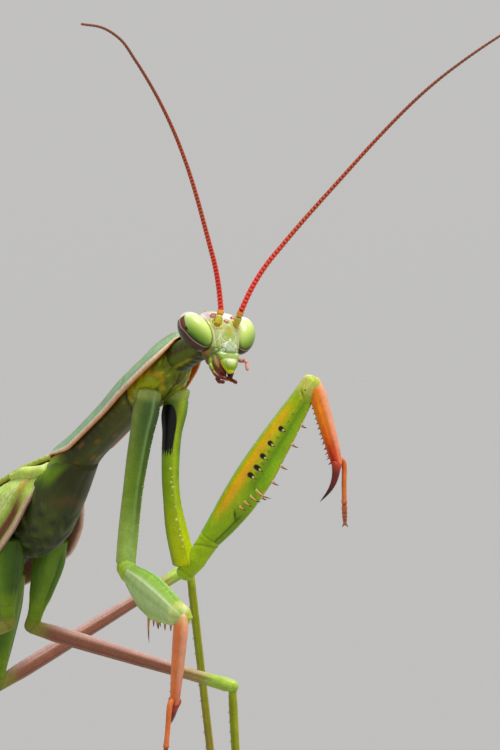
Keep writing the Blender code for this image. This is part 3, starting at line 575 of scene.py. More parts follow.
def make_head():
    """The three-sided head: face plates and seams, antenna sockets, crown, and three ocelli."""
    height = np.linspace(-1.72, 1.42, 260)
    width, front, rear = flow(HEAD_TABLE, height).T
    angle = np.radians(ring_angles(300))
    c, s = np.cos(angle)[None], np.sin(angle)[None]
    x = width[:, None] * c
    forward = np.where(s > 0, front[:, None], rear[:, None]) * s
    z = np.broadcast_to(height[:, None], x.shape)
    side = np.abs(x)
    face = step(s, 0.15, 0.45) * np.ones_like(x)
    crown = step(z, 0.55, 1.0)

    plate = (
        fade(side + 0.20 * (-0.9 - z), 0.56, 0.66) * step(z, -1.52, -1.42)
        * fade(z + 0.42 * side, -0.80, -0.70) * face
    )
    seams = np.zeros_like(x)
    for w in (1, -1):
        for start, end in FACE_SEAMS:
            seams = np.maximum(seams, stroke(x, z, (w * start[0], start[1]), (w * end[0], end[1]), 0.026))
    seams = np.maximum(seams, bell(np.hypot(x / 0.56, (z + 0.36) / 0.48), 1, 0.055) * (z < 0.0)) * face
    seams = np.maximum(seams, stroke(x, z, (-0.62, -1.60), (0.62, -1.60), 0.03) * face)
    collar = bell(np.hypot(side - SOCKET[0], z - SOCKET[1]), 0.33, 0.07) * face
    pit = bell(np.hypot(side - SOCKET[0], z - SOCKET[1]), 0, 0.24) * face
    blister = np.zeros_like(x)
    circle = np.zeros_like(x)
    for place, height, size in FACE_BLISTERS:
        from_middle = np.hypot(side - place, z - height)
        blister = np.maximum(blister, bell(from_middle, 0, size * 0.75))
        circle = np.maximum(circle, bell(from_middle, size, 0.035))
    blister, circle = blister * face, circle * face
    near_eye = np.minimum(eye_depth(x, forward, z, 1), eye_depth(x, forward, z, -1))
    rim = bell(near_eye, 1.07, 0.06)
    ocellar = sum(bell(np.hypot(x - a, z - b), 0, 0.30) for a, b, _ in OCELLI) * face
    ridge = bell(side, 0.30 + 0.25 * (-0.80 - z), 0.07) * step(-z, 0.86, 0.96) * step(z, -1.4, -1.2) * face
    apex = bell(np.hypot(x / 0.8, z + 0.76), 0, 0.10) * face

    grow = (
        0.05 * plate - 0.045 * seams + 0.05 * collar - 0.08 * pit + 0.05 * rim + 0.06 * ocellar + 0.04 * ridge
        + 0.06 * bell(side, 0.95, 0.22) * crown - 0.05 * bell(x, 0, 0.12) * step(z, 1.0, 1.3)
        + 0.025 * blister - 0.03 * circle + 0.08 * apex + 0.08 * bell(x, 0, 0.45) * bell(z, -0.2, 0.35) * face
        - 0.04 * bell(side, 1.02, 0.12) * bell(z, -0.75, 0.5) * face
    )
    grid = on_head(x + c * grow, forward + s * grow, z)

    mottle = np.sin(x * 9 + 2 * np.sin(z * 5)) * np.sin(z * 11 + 1.5 * np.sin(x * 7))
    side_face = step(forward, 0.0, 0.3) * fade(forward, 0.72, 0.95)
    back = fade(forward, -0.05, 0.40)
    tint = paint(
        "B6C070",
        ("C2CC94", bell(z, -0.35, 0.45)),
        ("A8B068", 0.6 * bell(side, 0.98, 0.14) * bell(z, -0.3, 0.7) * face),
        ("9CB44A", 0.75 * bell(x, 0, 0.42) * bell(z, -0.38, 0.34) * face),
        ("B9B04A", 0.6 * bell(np.hypot(x, z + 0.10), 0, 0.30) * face),
        ("B8904A", 0.7 * bell(np.hypot(x / 1.3, z - 0.02), 0, 0.16) * face),
        ("E8D27A", 0.7 * bell(np.hypot(side - 0.60, z - 0.12), 0, 0.24) * face),
        ("DCCB70", 0.6 * collar),
        ("E8EED8", 0.6 * bell(x, 0, 0.3) * bell(z, 0.30, 0.12) * face),
        ("8FAA4A", 0.35 * step(mottle, 0.2, 0.8) * face * (1 - crown)),
        # Painted highlight: the crown turns near white over the head's pale colour, where the light falls on top.
        ("FFF8FA", crown),
        ("DCB8C4", 0.7 * bell(np.hypot(x + 0.72, z - 0.80), 0.34, 0.20) * crown + 0.3 * bell(x, 0, 0.10) * crown),
        ("C2CEB0", 0.9 * plate),
        ("9CBC6A", 0.5 * plate * step(mottle, 0.1, 0.7)),
        # Pale ridges, and a painted highlight: the near-white glint on the apex of the face plate.
        ("F4FAF0", np.clip(0.6 * ridge + 0.95 * apex, 0, 1)),
        ("B4D27E", step(-z, 1.50, 1.60) * face),
        ("EEF4DC", 0.65 * seams * step(-z, -0.3, -0.1)),
        ("A07A50", 0.4 * seams * crown),
        ("D8E8C4", 0.75 * blister),
        ("5E7E34", 0.75 * circle),
        ("E0E4A0", 0.7 * bell(near_eye, 1.12, 0.05) * face * (1 - crown)),
        ("7A8A44", 0.55 * bell(near_eye, 1.03, 0.022) * (1 - crown)),
        # Painted shade: dark olive low on the sides of the face.
        ("6A7A34", 0.8 * side_face * step(-z, 0.9, 1.2)),
        ("B08058", 0.6 * bell(z, -1.64, 0.08) * bell(side, 0.74, 0.12) * side_face),
        ("6E7E2C", 0.9 * back),
        ("3A3A14", 0.85 * back * step(-z, 0.5, 1.2)),
        ("C8782E", 0.9 * bell(np.hypot(side - 1.02, z + 1.31), 0, 0.12) * bell(forward, 0.2, 0.25)),
        ("8A7A4A", 0.6 * bell(np.hypot(side - SOCKET[0], z - SOCKET[1]), 0.26, 0.03) * face),
    )
    clay = Clay()
    clay.grid(grid, tint)

    for a, b, size in OCELLI:
        centre = on_head(a, face_depth(np.array([a]), np.array([b]))[0] + 0.02, b)
        out = head_axis(a * 0.4, 0.85, 0.1 + 0.5 * step(b, 0.5, 0.9))
        right = unit(np.cross(out, UP))
        lens, rise = dome(centre, size, right, np.cross(right, out), out, (2, 120), 26, 36, 0.85)
        clay.grid(lens, paint("C8906E", ("8A5440", step(rise, 0.8, 1.6))), 1)
    clay.object("head_capsule", [FACE, HORN], ["head"])


# ---- mouth

PALP_RADIUS = 0.15
TIP_START, TIP_SPAN = 0.93, 0.0702      # where a palp's tip begins to round off, and over what share of it


def palp(clay, places, joints, colours):
    """A jointed palp: a smooth path pinched at each joint and rounded at its tip."""
    count = 90
    t = np.linspace(0, 1, count)
    path = smooth_path([on_head(*spot) for spot in places], count)
    beat = np.abs(np.sin(math.pi * joints * t))
    tip = np.clip(1 - ((t - TIP_START) / TIP_SPAN) ** 2, 0.02, 1) ** (t > TIP_START)
    size = PALP_RADIUS * (0.70 + 0.30 * beat**0.5) * (1 - 0.25 * t) * np.sqrt(tip)
    tint = paint(colours[0], (colours[1], step(t, 0.25, 0.75)), ("3A1A14", 0.55 * fade(beat, 0.0, 0.35)))
    clay.grid(tube_grid(path, size, 18), tint[:, None])


def make_lip(front):
    """The plate below the face, and the upper lip that hangs from it."""
    clay = Clay()
    brow = Joint(on_head(0, 0.94, -1.50), on_head(0, 1.02, -1.94), front)
    grid, share, angle = brow.skin(
        [(0.0, 0.84, 0.21, 0.24), (0.45, 0.78, 0.27, 0.24), (1.0, 0.62, 0.25, 0.2)],
        domes=(0.1, 0.08), rows=50, columns=90, power=2.2,
        relief=lambda share, angle: (
            0.03 * near(angle, TOP, 30) * bell(share, 0.45, 0.3)
            + 0.015 * bell(np.hypot(aside(angle, TOP) / 22 - 1.4, (share - 0.25) / 0.35), 0, 0.8)
        ),
    )
    ring = np.hypot(aside(angle, TOP) / 22 - 1.4, (share - 0.25) / 0.35)
    clay.grid(grid, paint(
        "B2C67E",
        ("94AC50", step(aside(angle, TOP), 45, 80)),
        ("9AB444", step(share, 0.6, 1.0)),
        ("6E9440", 0.45 * bell(ring, 0.95, 0.18)),
        ("E2EECA", 0.45 * bell(ring, 0, 0.5)),
    ))
    lip = Joint(on_head(0, 1.02, -1.92), on_head(0, 1.04, -2.66), front)
    grid, share, angle = lip.skin(
        [(0.0, 0.60, 0.26, 0.22), (0.20, 0.64, 0.27, 0.22), (0.5, 0.56, 0.25, 0.2), (0.78, 0.42, 0.21, 0.2),
         (1.0, 0.27, 0.16, 0.18)],
        domes=(0.08, 0.16), rows=90, columns=90, power=2.3,
        relief=lambda share, angle: (
            0.05 * near(angle, TOP, 16) * step(share, 0.0, 0.2) * fade(share, 0.7, 0.95)
            - 0.03 * bell(aside(angle, TOP), 40, 8) * step(share, 0.1, 0.3) * fade(share, 0.7, 0.9)
        ),
    )
    edge = np.maximum(step(aside(angle, TOP) + 34 * share, 78, 94), step(share, 0.90, 1.02))
    clay.grid(grid, paint(
        "8EAC2A",
        ("ECF2C0", near(angle, TOP, 46) * fade(share, 0.15, 0.76)),
        ("6E9420", 0.6 * bell(aside(angle, TOP), 40, 10) * step(share, 0.1, 0.4)),
        ("CFCB38", edge),
    ))
    clay.object("labrum", [FACE], ["upper_lip"])


def make_jaw(clay, side, front):
    """One of the biting jaws, dark towards its toothed tip."""
    jaw = Joint(on_head(side * 0.58, 0.42, -1.35), on_head(side * 0.30, 0.62, -2.80), front)
    grid, share, angle = jaw.skin(
        [(0.0, 0.30, 0.36, 0.36), (0.35, 0.32, 0.36, 0.34), (0.7, 0.27, 0.30, 0.30), (1.0, 0.17, 0.2, 0.2)],
        domes=(0.2, 0.25), rows=70, columns=50,
        relief=lambda share, angle: 0.03 * np.sin(share * 22) * near(angle, TOP, 60),
    )
    clay.grid(grid, paint(
        "A8A858",
        ("C08C78", step(share, 0.06, 0.28)),
        ("7A3428", step(share, 0.42, 0.66)),
        ("4A1A12", step(share, 0.86, 1.0)),
        ("CDC66A", 0.8 * bell(aside(angle, TOP), 62, 14) * fade(share, 0.55, 0.8)),
    ))
    inward = head_axis(-side, 0.3, -0.8)
    for tooth in (0.62, 0.80, 0.96):
        root = jaw.centre(tooth) + front * 0.10
        spine(clay, root, root + inward * 0.26, 0.09, "5A2018", "46160F", "240A08")


def make_cheek(clay, side, front):
    """The cheek behind a jaw, and the soft jaw that carries a palp."""
    gena = Joint(on_head(side * 1.02, -0.34, -0.72), on_head(side * 0.66, -0.02, -1.98), front)
    grid, share, angle = gena.skin(
        [(0.0, 0.20, 0.34, 0.30), (0.4, 0.24, 0.40, 0.34), (0.8, 0.22, 0.32, 0.28), (1.0, 0.14, 0.2, 0.2)],
        domes=(0.12, 0.15), rows=60, columns=50,
        relief=lambda share, angle: -0.03 * near(angle, 70, 10) + 0.02 * np.sin(share * 16),
    )
    clay.grid(grid, paint(
        "5E6A26",
        ("5A5222", step(share, 0.1, 0.7)),
        ("D2CE8A", 0.8 * near(angle, 70, 9)),
        ("7E5A30", 0.5 * bell(share, 0.62, 0.16)),
    ))
    cheek = Joint(on_head(side * 0.72, -0.16, -1.05), on_head(side * 0.46, 0.30, -2.62), front)
    grid, share, angle = cheek.skin(
        [(0.0, 0.24, 0.34, 0.36), (0.4, 0.28, 0.36, 0.36), (0.75, 0.22, 0.28, 0.28), (1.0, 0.12, 0.15, 0.15)],
        domes=(0.1, 0.15), rows=60, columns=44,
        relief=lambda share, angle: -0.05 * bell(share, 0.42, 0.03) - 0.04 * bell(share, 0.70, 0.03),
    )
    clay.grid(grid, paint(
        "7A7E34",
        ("5E6424", step(share, 0.2, 0.8)),
        ("C9C070", 0.6 * near(angle, TOP, 30)),
        ("8C4A28", 0.7 * bell(share, 0.88, 0.12)),
        ("211A0E", 0.8 * np.maximum(bell(share, 0.42, 0.03), bell(share, 0.70, 0.03))),
    ))


def make_mouth():
    """The lip, and behind it the jaws, cheeks, lower lip and four palps."""
    front = head_axis(0, 1, 0)
    make_lip(front)
    clay = Clay()
    for side in (1, -1):
        make_jaw(clay, side, front)
        make_cheek(clay, side, front)
    under = Joint(on_head(0, -0.25, -1.30), on_head(0, 0.10, -2.70), front)
    grid, share, angle = under.skin(
        [(0.0, 0.55, 0.28, 0.28), (0.6, 0.50, 0.26, 0.26), (1.0, 0.34, 0.22, 0.22)], (0.2, 0.2), 70, 60,
        relief=lambda share, angle: (
            -0.05 * bell(share, 0.55, 0.04) - 0.05 * near(angle, UNDER, 10) * step(share, 0.5, 0.7)
        ),
    )
    clay.grid(grid, paint(
        "8C8A34",
        ("7A5A26", step(share, 0.4, 0.9)),
        ("34300F", 0.8 * bell(share, 0.55, 0.04)),
    ))
    maroon, orange, green, pink = "6E2418", "C0662E", "8FA040", "D89A90"
    palps = {
        "right_jaw_palp": ([(-0.78, 0.25, -1.55), (-1.00, 0.42, -2.2), (-0.86, 0.75, -2.90), (-0.55, 1.35, -3.25)],
                           (green, maroon)),
        "left_jaw_palp": ([(0.78, 0.25, -1.55), (1.10, 0.80, -1.85), (1.18, 1.15, -1.95), (1.16, 1.30, -2.60)],
                          (pink, pink)),
        "right_lip_palp": ([(-0.30, 0.02, -2.85), (-0.36, 0.30, -3.16), (-0.30, 0.75, -3.30)], (maroon, maroon)),
        "left_lip_palp": ([(0.30, 0.02, -2.85), (0.40, 0.45, -3.02), (0.52, 0.95, -3.34)], (orange, maroon)),
    }
    for name, (places, colours) in palps.items():
        palp(clay, places, 4 if "jaw" in name else 3, colours)
    clay.object("mouthparts", [MOUTH], ["left_jaw", "right_jaw", "lower_lip", *palps])


# ---- antennae

SCAPE = [                   # share along the feeler's first two joints, radius
    (0.0, 0.20), (0.12, 0.205), (0.45, 0.225), (0.56, 0.205), (0.60, 0.15), (0.66, 0.16), (0.71, 0.215),
    (0.92, 0.22), (1.0, 0.17),
]
FEELER_RINGS = 92


def antenna_path(word, start):
    """Places along a feeler, from the directions it takes on its way."""
    steps = 15
    knots = [aim(direction) for direction in ANTENNA[word]]
    points = [start]
    for i in range(steps):
        at = (i + 0.5) / steps * (len(knots) - 1)
        first = int(at)
        heading = unit(knots[first] * (1 - at + first) + knots[first + 1] * (at - first))
        points.append(points[-1] + heading * ANTENNA_LENGTH[word] / steps)
    return points


def make_antenna(word):
    """A feeler: its two first joints, and a long ringed whip that gets finer and darker."""
    socket, top = (on_head(*spot) for spot in ANTENNA_BASE[word])
    base = Joint(socket, top, head_axis(0, 1, 0))
    table = [(at, radius, radius, radius) for at, radius in SCAPE]
    grid, share, angle = base.skin(table, (0.05, 0.03), 110, 40)
    clay = Clay()
    clay.grid(grid, paint(
        "D8BC52",
        ("C0C05A", step(share, 0.15, 0.42)),
        ("CC922E", 0.7 * bell(share, 0.12, 0.09) * near(angle, TOP, 60)),
        ("F0A050", step(share, 0.62, 0.72)),
        ("7E3A14", 0.7 * bell(share, 0.61, 0.03) + 0.5 * bell(share, 1.0, 0.04)),
        ("F0E2C0", 0.5 * bell(share, 0.52, 0.03)),
    ))
    clay.object(word + "_scape", [FACE], [word + "_antenna_base"])
    start = top + unit(top - socket) * 0.03
    count = FEELER_RINGS * 10 + 1
    path = smooth_path(antenna_path(word, start), count)
    t = np.linspace(0, 1, count)
    beat = np.abs(np.sin(math.pi * FEELER_RINGS * t))
    radius = (0.185 - 0.105 * t**0.8) * (0.74 + 0.30 * beat**0.6)
    grid = tube_grid(path, radius, 20)
    joint = fade(beat, 0.12, 0.6)
    tint = paint(
        "E8341C",
        ("B84A28", step(t, 0.06, 0.34)),
        ("86503C", step(t, 0.38, 0.85)),
        (mix("7A1410", "30201C", step(t, 0.15, 0.4)), joint * (0.35 + 0.5 * bell(t, 0.45, 0.25))),
        # Painted highlights: pale pink glints on the crests of the rings, towards the base.
        ("F6C4B0", 0.35 * step(beat, 0.9, 1.0) * fade(t, 0.3, 0.7)),
    )
    clay = Clay()
    clay.grid(grid, tint[:, None])
    clay.object(word + "_flagellum", [FEELER], [word + "_antenna"])


# ---- trunk

def trunk_frame(front, rear):
    """Directions along a stretch of the trunk and up from it."""
    along = unit(trunk(rear) - trunk(front))
    return along, np.cross(SIDEWAYS, along)


SHIELD_TABLE = [
    (-0.01, 0.60, 1.28, 0.72), (0.02, 1.20, 1.48, 0.25), (0.08, 1.85, 1.52, -0.18), (0.17, 2.18, 1.42, -0.36),
    (0.24, 2.30, 1.46, -0.46), (0.30, 2.22, 1.52, -0.42), (0.38, 1.95, 1.56, -0.30), (0.50, 1.64, 1.48, -0.12),
    (0.70, 1.66, 1.38, -0.10), (0.78, 1.58, 1.42, 0.28), (0.85, 1.32, 1.48, 0.80), (0.91, 0.60, 1.50, 1.12),
]


def make_shield():
    """The long neck shield: a roof with a keel, a cross groove where it is widest, and a pale raised rim."""
    along, up = trunk_frame(SHIELD_FRONT, SHIELD_REAR)
    length = np.linalg.norm(trunk(SHIELD_REAR) - trunk(SHIELD_FRONT))
    share = np.linspace(-0.01, 0.91, 330)[:, None]
    width, ridge, edge = flow(SHIELD_TABLE, share[:, 0]).T[..., None]
    a = np.linspace(0, math.pi, 110)[None]
    side = np.abs(np.cos(a)) * np.ones_like(share)
    groove = bell(share + 0.05 * (1 - side**2), 0.285, 0.012)
    keel = bell(np.cos(a), 0, 0.05) * step(share, 0.31, 0.36)
    front_seam = bell(np.cos(a), 0, 0.035) * fade(share, 0.24, 0.27)
    rim = step(side, 0.955, 0.99)
    grains = np.maximum(0, np.sin(share * 420) * np.sin(share * 173 + 40 * side)) ** 2
    grow = (
        0.10 * rim + 0.06 * keel - 0.04 * front_seam - 0.10 * groove * (1 - 0.6 * rim)
        - 0.07 * bell(side, 0.86, 0.07) + 0.05 * bell(side, 0.45, 0.16) * fade(share, 0.20, 0.27)
        + 0.025 * grains * (1 - rim) * step(side, 0.2, 0.9) + 0.02 * rim * np.maximum(0, np.sin(share * 330)) ** 3
    )
    x = (width + grow) * np.cos(a)
    z = edge + (ridge - edge + grow) * np.sin(a)
    tint = paint(
        "74925E",
        ("8AA884", step(side, 0.15, 0.75)),
        ("8EA274", 0.6 * fade(share, 0.05, 0.40)),
        ("A8C8A2", 0.7 * bell(side, 0.82, 0.09)),
        ("5E8A58", 0.8 * groove + 0.5 * front_seam),
        ("C4DCB8", 0.45 * keel),
        ("82A274", 0.5 * grains),
        ("EAD8C4", 0.9 * step(side, 0.974, 0.986)),
        ("D89A6A", 0.9 * step(side, 0.9965, 0.999)),
        ("E0A070", 0.7 * step(share, 0.885, 0.91)),
    )
    low_edge = edge - 0.02
    low_ridge = np.maximum(ridge - 0.35, low_edge + 0.05)
    below = np.linspace(0, math.pi, 34)[None]
    lining_x = (width - 0.02 - 0.20 * np.sin(below)) * np.cos(below)
    lining_z = low_edge + (low_ridge - low_edge) * np.sin(below)
    # The lining under the shield: orange at the rim, then dark olive further in as painted shade under the shield.
    shade = paint("CC7230", ("3E3812", fade(np.abs(np.cos(below)) * np.ones_like(share), 0.86, 0.995)))
    x, z = np.hstack([x, lining_x[:, ::-1]]), np.hstack([z, lining_z[:, ::-1]])
    centre = trunk(SHIELD_FRONT) + along * length * share
    grid = centre[:, None] + SIDEWAYS * x[..., None] + up * z[..., None]
    clay = Clay()
    clay.grid(grid, np.hstack([tint, shade[:, ::-1]]))
    clay.object("shield_plate", [PLATE], ["neck_shield"])


CHEST_TABLE = [
    (0.05, 1.15, 0.8, 1.00), (0.12, 1.55, 0.9, 1.50), (0.22, 1.75, 0.9, 1.65), (0.32, 1.60, 0.9, 1.35),
    (0.42, 1.35, 0.9, 1.10), (0.68, 1.34, 0.9, 1.12), (0.82, 1.50, 0.9, 1.30), (0.90, 1.35, 0.8, 1.20),
]
TRUNK_SECTIONS = [          # Y, Z, half width, depth above, depth below
    (15.2, 26.15, 1.10, 0.7, 1.0), (16.2, 25.55, 1.50, 0.85, 1.40), (17.1, 24.95, 1.72, 0.95, 1.95),
    (18.0, 24.42, 1.88, 1.0, 2.5), (18.9, 24.0, 2.0, 1.0, 3.1),
    (20.1, 23.4, 2.15, 1.10, 3.5), (22.0, 22.6, 2.2, 1.15, 3.5), (23.5, 21.85, 2.2, 0.60, 2.8),
    (24.6, 21.35, 2.3, 0.48, 3.0), (26.2, 20.6, 2.2, 0.50, 2.8), (27.5, 20.0, 2.0, 0.52, 2.0),
    (28.45, 19.4, 1.75, 0.60, 1.2),
]
BELLY_ROWS = [              # share of the way from waist to tail, half width, depth above, depth below
    (0.10, 1.80, 0.64, 1.32), (0.18, 1.86, 0.70, 1.42), (0.36, 1.92, 0.75, 1.45), (0.53, 1.92, 0.75, 1.45),
    (0.70, 1.88, 0.75, 1.35), (0.82, 1.70, 0.72, 1.2), (0.92, 1.25, 0.65, 0.95), (1.0, 0.55, 0.4, 0.5),
]
BELLY_RINGS = 9
TAIL_FEELER = 3.0


def make_neck(clay, up, along):
    """The soft throat between head and shield, pleated across, with a firm plate on each side, painted dark as shade.
    """
    neck = Joint(on_head(0, -0.55, -0.25), trunk(SHIELD_FRONT) + up * 0.25 + along * 1.3, up)

    def plate(share, angle):
        return bell(aside(angle, UNDER), 62, 24) * step(share, 0.12, 0.28) * fade(share, 0.80, 0.92)

    def pleats(share, angle):
        turn = np.radians(angle)
        folds = 0.5 + 0.5 * np.sin(share * 42 + 1.2 * np.sin(turn * 3))
        return (1 - plate(share, angle)) * folds * step(-np.sin(turn), -0.5, 0.2)

    grid, share, angle = neck.skin(
        [(0.0, 0.85, 0.75, 0.80), (0.5, 1.02, 0.85, 0.95), (1.0, 1.10, 0.85, 1.10)], (0.1, 0.1), 100, 110,
        relief=lambda share, angle: 0.07 * plate(share, angle) - 0.05 * pleats(share, angle),
    )
    firm = plate(share, angle)
    # Painted shade: the throat is painted dark olive, near-black in the folds of its pleats and darker again towards
    # the shield; the brown line and yellow streak are its own colour.
    clay.grid(grid, paint(
        "3C440C",
        ("141604", 0.85 * pleats(share, angle)),
        ("5C6A10", firm),
        ("4E3214", 0.85 * bell(firm, 0.42, 0.18)),
        ("A8A820", 0.7 * bell(aside(angle, UNDER), 36, 8) * step(share, 0.35, 0.5)),
        ("2E300E", 0.55 * step(share, 0.70, 0.95)),
    ))


def make_front_chest(clay, up):
    """The prothorax under the shield, with the lobes that hold the forelegs."""
    chest = Joint(trunk(SHIELD_FRONT) + up * 0.2, trunk(SHIELD_REAR) + up * 0.2, up)

    def lobes(share, angle):
        return bell(share, 0.20, 0.085) * bell(aside(angle, UNDER), 52, 26)

    def seam(share, angle):
        down = aside(angle, UNDER)
        return np.maximum.reduce([
            bell(share - 0.0012 * (60 - down), 0.315, 0.010) * (down < 100),
            bell(down, 0, 4) * (share > 0.07) * (share < 0.3), bell(down, 34, 4) * bell(share, 0.21, 0.07),
        ])

    def relief(share, angle):
        down = aside(angle, UNDER)
        return (
            0.16 * lobes(share, angle) - 0.10 * seam(share, angle)
            + 0.05 * np.sin(share * 95 + 3 * np.sin(down * 0.07))
            * np.sin(down * 0.16 + share * 30) * fade(share, 0.32, 0.36)
            - 0.03 * bell(down, 20, 7) * step(share, 0.36, 0.42)
            + 0.03 * np.sin(share * 150) * bell(down, 70, 16) * step(share, 0.36, 0.44)
        )

    grid, share, angle = chest.skin(CHEST_TABLE, (0.3, 0.3), 230, 120, relief=relief)
    down = aside(angle, UNDER)
    folds = np.sin(share * 95 + 3 * np.sin(down * 0.07)) * np.sin(down * 0.16 + share * 30)
    specks = np.sin(share * 38 + down * 0.02) * np.sin(down * 0.11 + 0.6)
    clay.grid(grid, paint(
        "565618",
        ("363814", step(share, 0.34, 0.60)),
        ("565C20", 0.6 * bell(down, 28, 24) * step(share, 0.34, 0.45)),
        ("8E5424", 0.75 * step(down, 76, 100) * step(share, 0.1, 0.3)),
        ("69760C", fade(share, 0.30, 0.36) * fade(down, 70, 95)),
        ("C6CC3C", 0.85 * lobes(share, angle)),
        ("D8A23A", 0.6 * bell(lobes(share, angle), 0.30, 0.08) * step(-share, -0.33, -0.28)),
        ("5A4A1A", 0.55 * step(folds, 0.25, 0.75) * fade(share, 0.32, 0.36) * (1 - lobes(share, angle))),
        ("C8CC50", 0.5 * step(-folds, 0.55, 0.9) * fade(share, 0.32, 0.36)),
        ("3E3212", 0.85 * seam(share, angle)),
        ("8E6428", 0.6 * step(specks, 0.55, 1.0) * step(share, 0.45, 0.6)),
        ("86B022", 0.9 * bell(share, 0.86, 0.06) * step(down, 56, 74)),
        ("343A16", 0.7 * step(share, 0.72, 0.86) * fade(down, 40, 62)),
    ))


def make_rear_trunk(clay):
    """Middle and rear chest and the ringed abdomen, one skin under the wings."""
    waist_along, waist_up = trunk_frame(WAIST, TAIL)
    span = np.linalg.norm(trunk(TAIL) - trunk(WAIST))
    sections = list(TRUNK_SECTIONS)
    for share, width, above, below in BELLY_ROWS:
        spot = trunk(WAIST) + waist_along * span * share
        sections.append((spot[1], spot[2], width, above, below))
    y = np.linspace(sections[0][0], sections[-1][0], 430)
    z, width, above, below = flow(sections, y).T
    angle = np.broadcast_to(ring_angles(108), (len(y), 108))
    down = aside(angle, UNDER)
    at = y[:, None]
    ring = (at - WAIST[0]) / (TAIL[0] - WAIST[0]) * BELLY_RINGS
    phase = ring - np.floor(ring)
    belly = step(at, WAIST[0] - 0.4, WAIST[0] + 0.8)
    overlap = belly * (0.10 * phase - 0.10 * bell(phase, 0, 0.06) - 0.06 * bell(phase, 1, 0.05))
    pleura = belly * bell(down, 84, 7)
    chest = fade(at, WAIST[0] - 1.2, WAIST[0])
    wave = 0.25 * np.sin(down * 0.09) + 0.12 * np.sin(down * 0.23 + 1)
    seams = chest * np.maximum.reduce([
        bell(at - 0.020 * (90 - down) + wave, 19.2, 0.16), 0.8 * bell(at - 0.024 * (90 - down) - wave, 21.3, 0.15),
        bell(at - 0.012 * (90 - down) + wave, 23.6, 0.16), 0.8 * bell(at - 0.018 * (90 - down), 25.4, 0.14),
        0.5 * bell(down, 0, 5), 0.6 * bell(down + 6 * np.sin(at * 1.7), 52, 5) * step(at, 19.0, 20.0),
    ]) * (down < 120)
    puckers = (
        chest * step(at, 16.6, 18.6) * np.sin(at * 5.2 + 2.5 * np.sin(down * 0.08))
        * np.sin(down * 0.13 + at * 0.9)
    )
    grow = overlap - 0.09 * pleura - 0.07 * seams + 0.055 * puckers
    turn = np.radians(angle)
    c, s = np.cos(turn), np.sin(turn)
    centre = np.stack([np.zeros_like(y), y, z], axis=1)
    grid = (
        centre[:, None] + SIDEWAYS * ((width[:, None] + grow) * c)[..., None]
        + waist_up * ((np.where(s > 0, above[:, None], below[:, None]) + grow) * s)[..., None]
    )
    x, z = grid[..., 0], grid[..., 2]
    band = bell(z + 0.15 * np.sin(x * 4), 23.2, 0.40) * bell(at, 17.9, 1.4) * step(-np.abs(x), -2.2, -0.6)
    clay.grid(grid, paint(
        "3C4420",
        ("4A5626", bell(down, 40, 22)),
        ("3A3C16", fade(at, 16.0, 18.0)),
        ("2A331A", 0.8 * step(at, 19.6, 21.6) * chest),
        # Painted light and shade: paler on the raised puckers, darker in the dents between them.
        ("5E6E30", 0.6 * step(puckers, 0.35, 0.85)),
        ("242C16", 0.6 * step(-puckers, 0.35, 0.85)),
        ("7A5034", 0.45 * band),
        ("769A1C", 0.9 * bell(at - 0.025 * (down - 80), 16.7, 0.9) * step(down, 58, 78)),
        ("B4C860", 0.8 * step(down, 118, 136) * chest),
        ("9EAE5A", belly),
        ("B4BE6E", belly * bell(down, 0, 40)),
        ("C9B070", 0.6 * pleura),
        ("5E6A2A", 0.75 * belly * np.maximum(bell(phase, 0, 0.05), bell(phase, 1, 0.05))),
        ("7E6A34", 0.5 * belly * step(down, 100, 130)),
        ("1C2410", 0.55 * seams),
    ))
    for side in (1, -1):
        start = trunk(WAIST) + waist_along * span * 0.95 + vec(side * 1.30, 0, 0.25)
        t = np.linspace(0, 1, 120)
        path = start + aim((180 - side * 14, -20)) * (TAIL_FEELER * t)[:, None]
        beat = np.abs(np.sin(math.pi * 11 * t))
        size = 0.25 * (1 - 0.55 * t**2) * (0.80 + 0.20 * beat**0.6)
        tint = paint("8E9A44", ("8A5A34", t), ("3E3416", 0.6 * fade(beat, 0, 0.5)))
        clay.grid(tube_grid(path, size, 20), tint[:, None])


def make_chest():
    """The skin of neck, chest and abdomen in one piece."""
    along, up = trunk_frame(SHIELD_FRONT, SHIELD_REAR)
    clay = Clay()
    make_neck(clay, up, along)
    make_front_chest(clay, up)
    make_rear_trunk(clay)
    clay.object("trunk_skin", [SKIN], [
        "front_chest", "neck", "middle_chest", "rear_chest", "front_abdomen", "middle_abdomen", "rear_abdomen",
        "left_tail_feeler", "right_tail_feeler",
    ])


# ---- wings

FOREWING = [                # share, half width, share of the height, angle of the outer edge, of the inner edge
    (0.0, 1.60, 0.80, 2, 96), (0.03, 2.15, 0.88, -26, 103), (0.07, 2.60, 0.96, -58, 109),
    (0.13, 2.85, 1.0, -78, 114), (0.22, 2.95, 1.0, -76, 116), (0.38, 2.95, 1.0, -57, 116),
    (0.7, 2.95, 1.0, -42, 116), (0.84, 2.95, 1.0, -40, 116), (0.94, 2.95, 1.0, -36, 116), (1.0, 2.95, 1.0, -36, 116),
]
HINDWING = [
    (0.0, 2.2, 0.9, 60, 82), (0.08, 2.2, 1.0, 40, 86), (0.7, 2.2, 1.0, 34, 86), (0.85, 2.2, 1.0, 34, 86),
    (0.95, 2.2, 1.0, 34, 86), (1.0, 2.2, 1.0, 34, 86),
]
VEINS = [(0.0, 0.05), (0.85, 0.045), (1.75, 0.075), (2.05, 0.04), (2.65, 0.045), (3.2, 0.04), (3.75, 0.045),
         (4.3, 0.04), (4.85, 0.045), (5.4, 0.035), (5.9, 0.035)]


